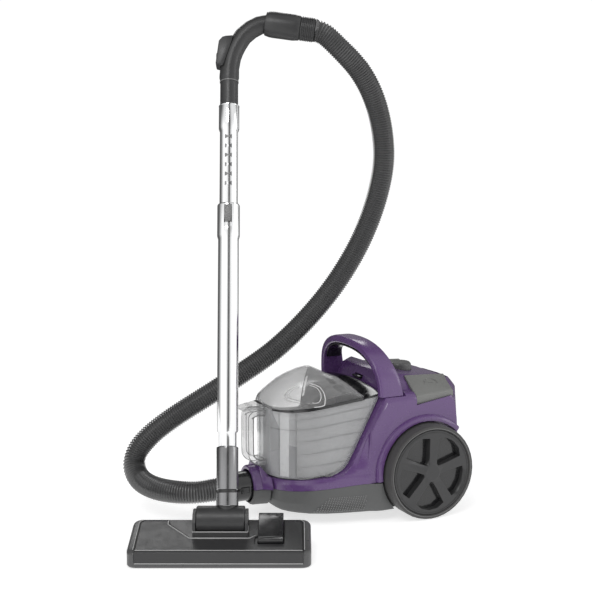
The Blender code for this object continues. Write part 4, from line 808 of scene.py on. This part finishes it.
PEDAL_LINE = 0.0006
for side, body in ((-1, "power_pedal"), (1, "rewind_pedal")):
    centre_x, centre_y = 0.0270, side * 0.0985
    path = []
    for k in range(MARK_POINTS):
        a = 2 * math.pi * k / (MARK_POINTS - 1)
        x, y = centre_x + 0.0125 * math.cos(a), centre_y + 0.0085 * math.sin(a)
        path.append(Vector((x, y, pedal_z(y))))
    tube_along(f"{body}_ring", path, [PEDAL_LINE] * MARK_POINTS, EDGE, body, CAN, 8)
    path = [Vector((centre_x + q * 0.0045, centre_y, pedal_z(centre_y))) for q in (-1, 1)]
    tube_along(f"{body}_mark", path, [PEDAL_LINE] * 2, EDGE, body, CAN, 8)
for side, word in ((-1, "right"), (1, "left")):
    body = f"wheel_{word}"
    revolve(f"hub_cap_{word}", [(0.0002, side * 0.1516), (0.0132, side * 0.1516),
                                (0.0138, side * 0.1519), (0.0136, side * 0.1524),
                                (0.0002, side * 0.1526)], LOOKS["charcoal"], body, "Y",
            (0, 0, WHEEL_R), CAN, 48)
    # A black sheet at the floor of the wheel's pockets is painted shade in them.
    revolve(f"pocket_painted_shade_{word}", [(0.0170, side * 0.1383), (0.0672, side * 0.1383),
                                     (0.0672, side * 0.1391), (0.0170, side * 0.1391)],
            LOOKS["black"], body, "Y", (0, 0, WHEEL_R), CAN, 64)
    for place, radius, depth, paint in (("outer", 0.0790, 0.0002, EDGE),
                                        ("inner", 0.0722, 0.0012, DARK)):
        path = []
        for k in range(97):
            a = 2 * math.pi * k / 96
            path.append(Vector((radius * math.cos(a), side * (WHEEL_OUT - depth),
                                WHEEL_R + radius * math.sin(a))))
        tube_along(f"wheel_line_{word}_{place}", path, [0.00045] * 97, paint, body, CAN, 6)


# ---------------------------------------------------------------- wand details
def wand_ring(name, z, radius, tall, material, body):
    """Thin ring round the wand's axis."""
    revolve(name, [(radius - 0.0006, z - tall / 2), (radius, z - tall / 2), (radius, z + tall / 2),
                   (radius - 0.0006, z + tall / 2)], material, body, "Z", (0, 0, 0), WAND, 48)


wand_ring("pipe_ring", 0.7505, 0.0166, 0.0016, EDGE, "upper_wand")
wand_ring("chrome_lip", 0.7050, 0.0180, 0.0014, LOOKS["chrome"], "upper_wand")
# The detents' points lie at the corners of the tube's 32 facets, so that they clear the lower tube.
DETENT_Z, DETENT_PITCH = 0.5620, 0.0168
DETENT_OUT, DETENT_IN = 0.01574, 0.0154
FACET_TURN = math.radians(360 / 32)
for k in range(6):
    z = DETENT_Z + k * DETENT_PITCH
    rows = []
    for q in range(-2, 3):
        across, out = math.sin(FACET_TURN * q), -math.cos(FACET_TURN * q)
        half = 0.0012 + 0.0028 * abs(q) / 2
        rows.append([(DETENT_IN * across, DETENT_IN * out, z - half),
                     (DETENT_OUT * across, DETENT_OUT * out, z - half),
                     (DETENT_OUT * across, DETENT_OUT * out, z + half),
                     (DETENT_IN * across, DETENT_IN * out, z + half)])
    # Every other detent is dark grey and the rest gunmetal: painted shade and highlight of the
    # detent bumps.
    loft(f"detent_{k + 1}", rows, EDGE if k % 2 else LOOKS["gunmetal"], "upper_wand", WAND)
GRIP_TALL = 0.0012
for k in range(7):
    z = 0.5055 + k * 0.0024
    box(f"button_rib_{k + 1}", (-0.0050, -0.0219, z), (0.0050, -0.0214, z + GRIP_TALL), EDGE,
        "tube_button", WAND)
for k in range(4):
    z = 0.7925 + k * 0.0026
    box(f"slider_rib_{k + 1}", (-0.0229, -0.0045, z), (-0.0224, 0.0045, z + GRIP_TALL), EDGE,
        "relief_slider", WAND)
revolve("neck_skirt", [(0.0150, 0.0215), (0.0176, 0.0215), (0.0182, 0.0225), (0.0182, 0.0425),
                       (0.0176, 0.0432), (0.0150, 0.0432)], LOOKS["gunmetal"], "wand_elbow",
        "Z", (0, 0, 0), WAND, 48)


# ---------------------------------------------------------------- floor head details
def cover_z(y):
    """Height of the head's sloping cover at y."""
    return lerp(0.0287, 0.0466, (y + 0.0605) / 0.0895)


def head_line(name, plan, thick, material, lift=0.0002):
    """Thin line lying on the cover along the plan's corners."""
    path = []
    for (x0, y0), (x1, y1) in zip(plan, plan[1:]):
        for k in range(6):
            x, y = lerp(x0, x1, k / 6), lerp(y0, y1, k / 6)
            path.append(Vector((x, y, cover_z(y) + lift)))
    x, y = plan[-1]
    path.append(Vector((x, y, cover_z(y) + lift)))
    return tube_along(name, path, [thick] * len(path), material, "floor_head", HEAD, 8)


# The light lines on the head are painted highlights along its edges, and the notch's dark line is
# painted shade.
head_line("notch_edge", [(-0.0872, 0.0270), (-0.0872, 0.0168), (-0.0491, -0.0249),
                         (0.0471, -0.0249), (0.0560, -0.0166)], 0.0010, GLINT)
head_line("notch_shade", [(-0.0852, 0.0270), (-0.0852, 0.0174), (-0.0482, -0.0231),
                          (0.0464, -0.0231), (0.0556, -0.0146)], 0.0006, DARK)
head_line("cover_front_edge", [(-0.1310, -0.0600), (0.1310, -0.0600)], 0.0006, GLINT)
head_line("cover_side_left", [(-0.1318, -0.0590), (-0.1318, 0.0240), (-0.1270, 0.0286),
                              (-0.0880, 0.0286)], 0.0007, DARK)
head_line("cover_side_right", [(0.1318, -0.0590), (0.1318, 0.0240), (0.1270, 0.0286),
                               (0.1020, 0.0286)], 0.0007, DARK)
head_line("frame_side_left", [(-0.1345, -0.0560), (-0.1345, 0.0260), (-0.1290, 0.0320)], 0.0007,
          GLINT, -0.0006)
head_line("frame_side_right", [(0.1345, -0.0560), (0.1345, 0.0260), (0.1290, 0.0320)], 0.0007,
          GLINT, -0.0006)
# A painted highlight along the foot of the cover.
tube_along("cover_foot_line", [Vector((-0.1318, -0.0640, 0.0086)),
                               Vector((0.1318, -0.0640, 0.0086))], [0.0007] * 2, GLINT,
           "floor_head", HEAD, 8)
# The yoke's light edge line is a painted highlight.
YOKE_TOP = 0.0457
YOKE_LINE = [(-0.0443, 0.0060), (-0.0443, -0.0233), (0.0443, -0.0233), (0.0443, 0.0060)]
path = []
for (x0, y0), (x1, y1) in zip(YOKE_LINE, YOKE_LINE[1:]):
    for k in range(6):
        path.append(Vector((lerp(x0, x1, k / 6), lerp(y0, y1, k / 6), YOKE_TOP)))
path.append(Vector((*YOKE_LINE[-1], YOKE_TOP)))
tube_along("yoke_edge", path, [0.0008] * len(path), GLINT, "floor_head", HEAD, 8)

# ---------------------------------------------------------------- stage
FLOOR_R = 0.64
floor_mesh = bpy.data.meshes.new("floor")
disc = [(FLOOR_R * math.cos(math.pi * k / 32), FLOOR_R * math.sin(math.pi * k / 32), 0)
        for k in range(64)]
floor_mesh.from_pydata(disc, [], [tuple(range(64))])
floor = bpy.data.objects.new("floor", floor_mesh)
floor.location.z = -0.0006
bpy.context.scene.collection.objects.link(floor)
floor_look = look("floor_white", (0.62, 0.62, 0.62), 0.95, grain=40, bump=0.0, shift=0.01,
                  wear=0.0)
floor_shader = floor_look.node_tree.nodes["Principled BSDF"]
floor_shader.inputs["Specular IOR Level"].default_value = 0.0
floor_shader.inputs["Emission Color"].default_value = (1, 1, 1, 1)
floor_shader.inputs["Emission Strength"].default_value = 0.66
floor_mesh.materials.append(floor_look)


def lamp(name, place, aim, size, power):
    """Soft rectangular lamp at a place, turned to what it lights."""
    data = bpy.data.lights.new(name, "AREA")
    data.shape = "RECTANGLE"
    data.size = size[0]
    data.size_y = size[1]
    data.energy = power
    made = bpy.data.objects.new(name, data)
    made.location = place
    made.rotation_euler = (Vector(aim) - Vector(place)).to_track_quat("-Z", "Y").to_euler()
    bpy.context.scene.collection.objects.link(made)
    return made


lamp("key", (-1.6, -1.6, 2.6), (0, 0, 0.2), (1.2, 1.2), 26)
lamp("fill", (2.4, -1.6, 1.4), (0, 0, 0.3), (0.8, 1.6), 8)
lamp("rim", (0.6, 2.4, 2.2), (0, 0, 0.4), (2.0, 0.8), 16)
world = bpy.data.worlds.new("studio")
bpy.context.scene.world = world
world.use_nodes = True
sky = world.node_tree
sky_place = sky.nodes.new("ShaderNodeTexCoord")
sky_split = sky.nodes.new("ShaderNodeSeparateXYZ")
# The world is brightest near the horizon and a little dimmer overhead.
sky_ramp = sky.nodes.new("ShaderNodeMapRange")
sky_ramp.interpolation_type = "SMOOTHSTEP"
for socket, value in (("From Min", 0.20), ("From Max", 0.50), ("To Min", 1.02), ("To Max", 0.72)):
    sky_ramp.inputs[socket].default_value = value
sky.links.new(sky_place.outputs["Generated"], sky_split.inputs["Vector"])
sky.links.new(sky_split.outputs["Z"], sky_ramp.inputs["Value"])
# Dark flags stand round the set, as in a studio. Camera rays see plain white instead of them.
sky_turn = sky.nodes.new("ShaderNodeMath")
sky_turn.operation = "ARCTAN2"
sky.links.new(sky_split.outputs["Y"], sky_turn.inputs[0])
sky.links.new(sky_split.outputs["X"], sky_turn.inputs[1])
sky_share = sky.nodes.new("ShaderNodeMapRange")
for socket, value in (("From Min", -math.pi), ("From Max", math.pi)):
    sky_share.inputs[socket].default_value = value
sky.links.new(sky_turn.outputs["Value"], sky_share.inputs["Value"])
flags = sky.nodes.new("ShaderNodeValToRGB")
# Brightness at angles round the set, counted from the direction from the set to the camera's rest.
VIEW_AZIMUTH = math.degrees(VIEW_TURN) - 90
FLAGS = [(-180, 0.25), (-150, 0.12), (-108, 0.12), (-90, 0.5), (-70, 1.1), (-20, 1.3),
         (-6, 0.9), (2, 0.14), (16, 0.14), (26, 0.9), (50, 1.25), (110, 1.15), (136, 0.5),
         (152, 0.15), (180, 0.25)]
stops = sorted((((angle + VIEW_AZIMUTH + 180) % 360) / 360, value) for angle, value in FLAGS[:-1])
for element, (at, value) in zip(flags.color_ramp.elements, (stops[0], stops[-1])):
    element.position = at
    element.color = (*[value] * 3, 1)
for at, value in stops[1:-1]:
    flags.color_ramp.elements.new(at).color = (*[value] * 3, 1)
sky.links.new(sky_share.outputs["Result"], flags.inputs["Fac"])
shaded = sky.nodes.new("ShaderNodeMath")
shaded.operation = "MULTIPLY"
sky.links.new(sky_ramp.outputs["Result"], shaded.inputs[0])
sky.links.new(flags.outputs["Color"], shaded.inputs[1])
ray = sky.nodes.new("ShaderNodeLightPath")
seen = sky.nodes.new("ShaderNodeMix")
seen.inputs["B"].default_value = 1.04
sky.links.new(ray.outputs["Is Camera Ray"], seen.inputs["Factor"])
sky.links.new(shaded.outputs["Value"], seen.inputs["A"])
sky.links.new(seen.outputs["Result"], sky.nodes["Background"].inputs["Strength"])
sky.nodes["Background"].inputs["Color"].default_value = (1, 1, 1, 1)

camera_data = bpy.data.cameras.new("camera")
camera_data.lens = 68.96
camera_data.sensor_width = 36
camera_data.clip_start = 0.01
camera = bpy.data.objects.new("camera", camera_data)
camera.location = (-0.8248, -1.7347, 0.6638)
camera.rotation_euler = (math.radians(82.16), 0, VIEW_TURN)
bpy.context.scene.collection.objects.link(camera)
scene = bpy.context.scene
scene.camera = camera
# A ray crosses many clear walls in the bin and its lid.
scene.cycles.transparent_max_bounces = 16
scene.view_settings.view_transform = "Standard"
scene.view_settings.look = "None"
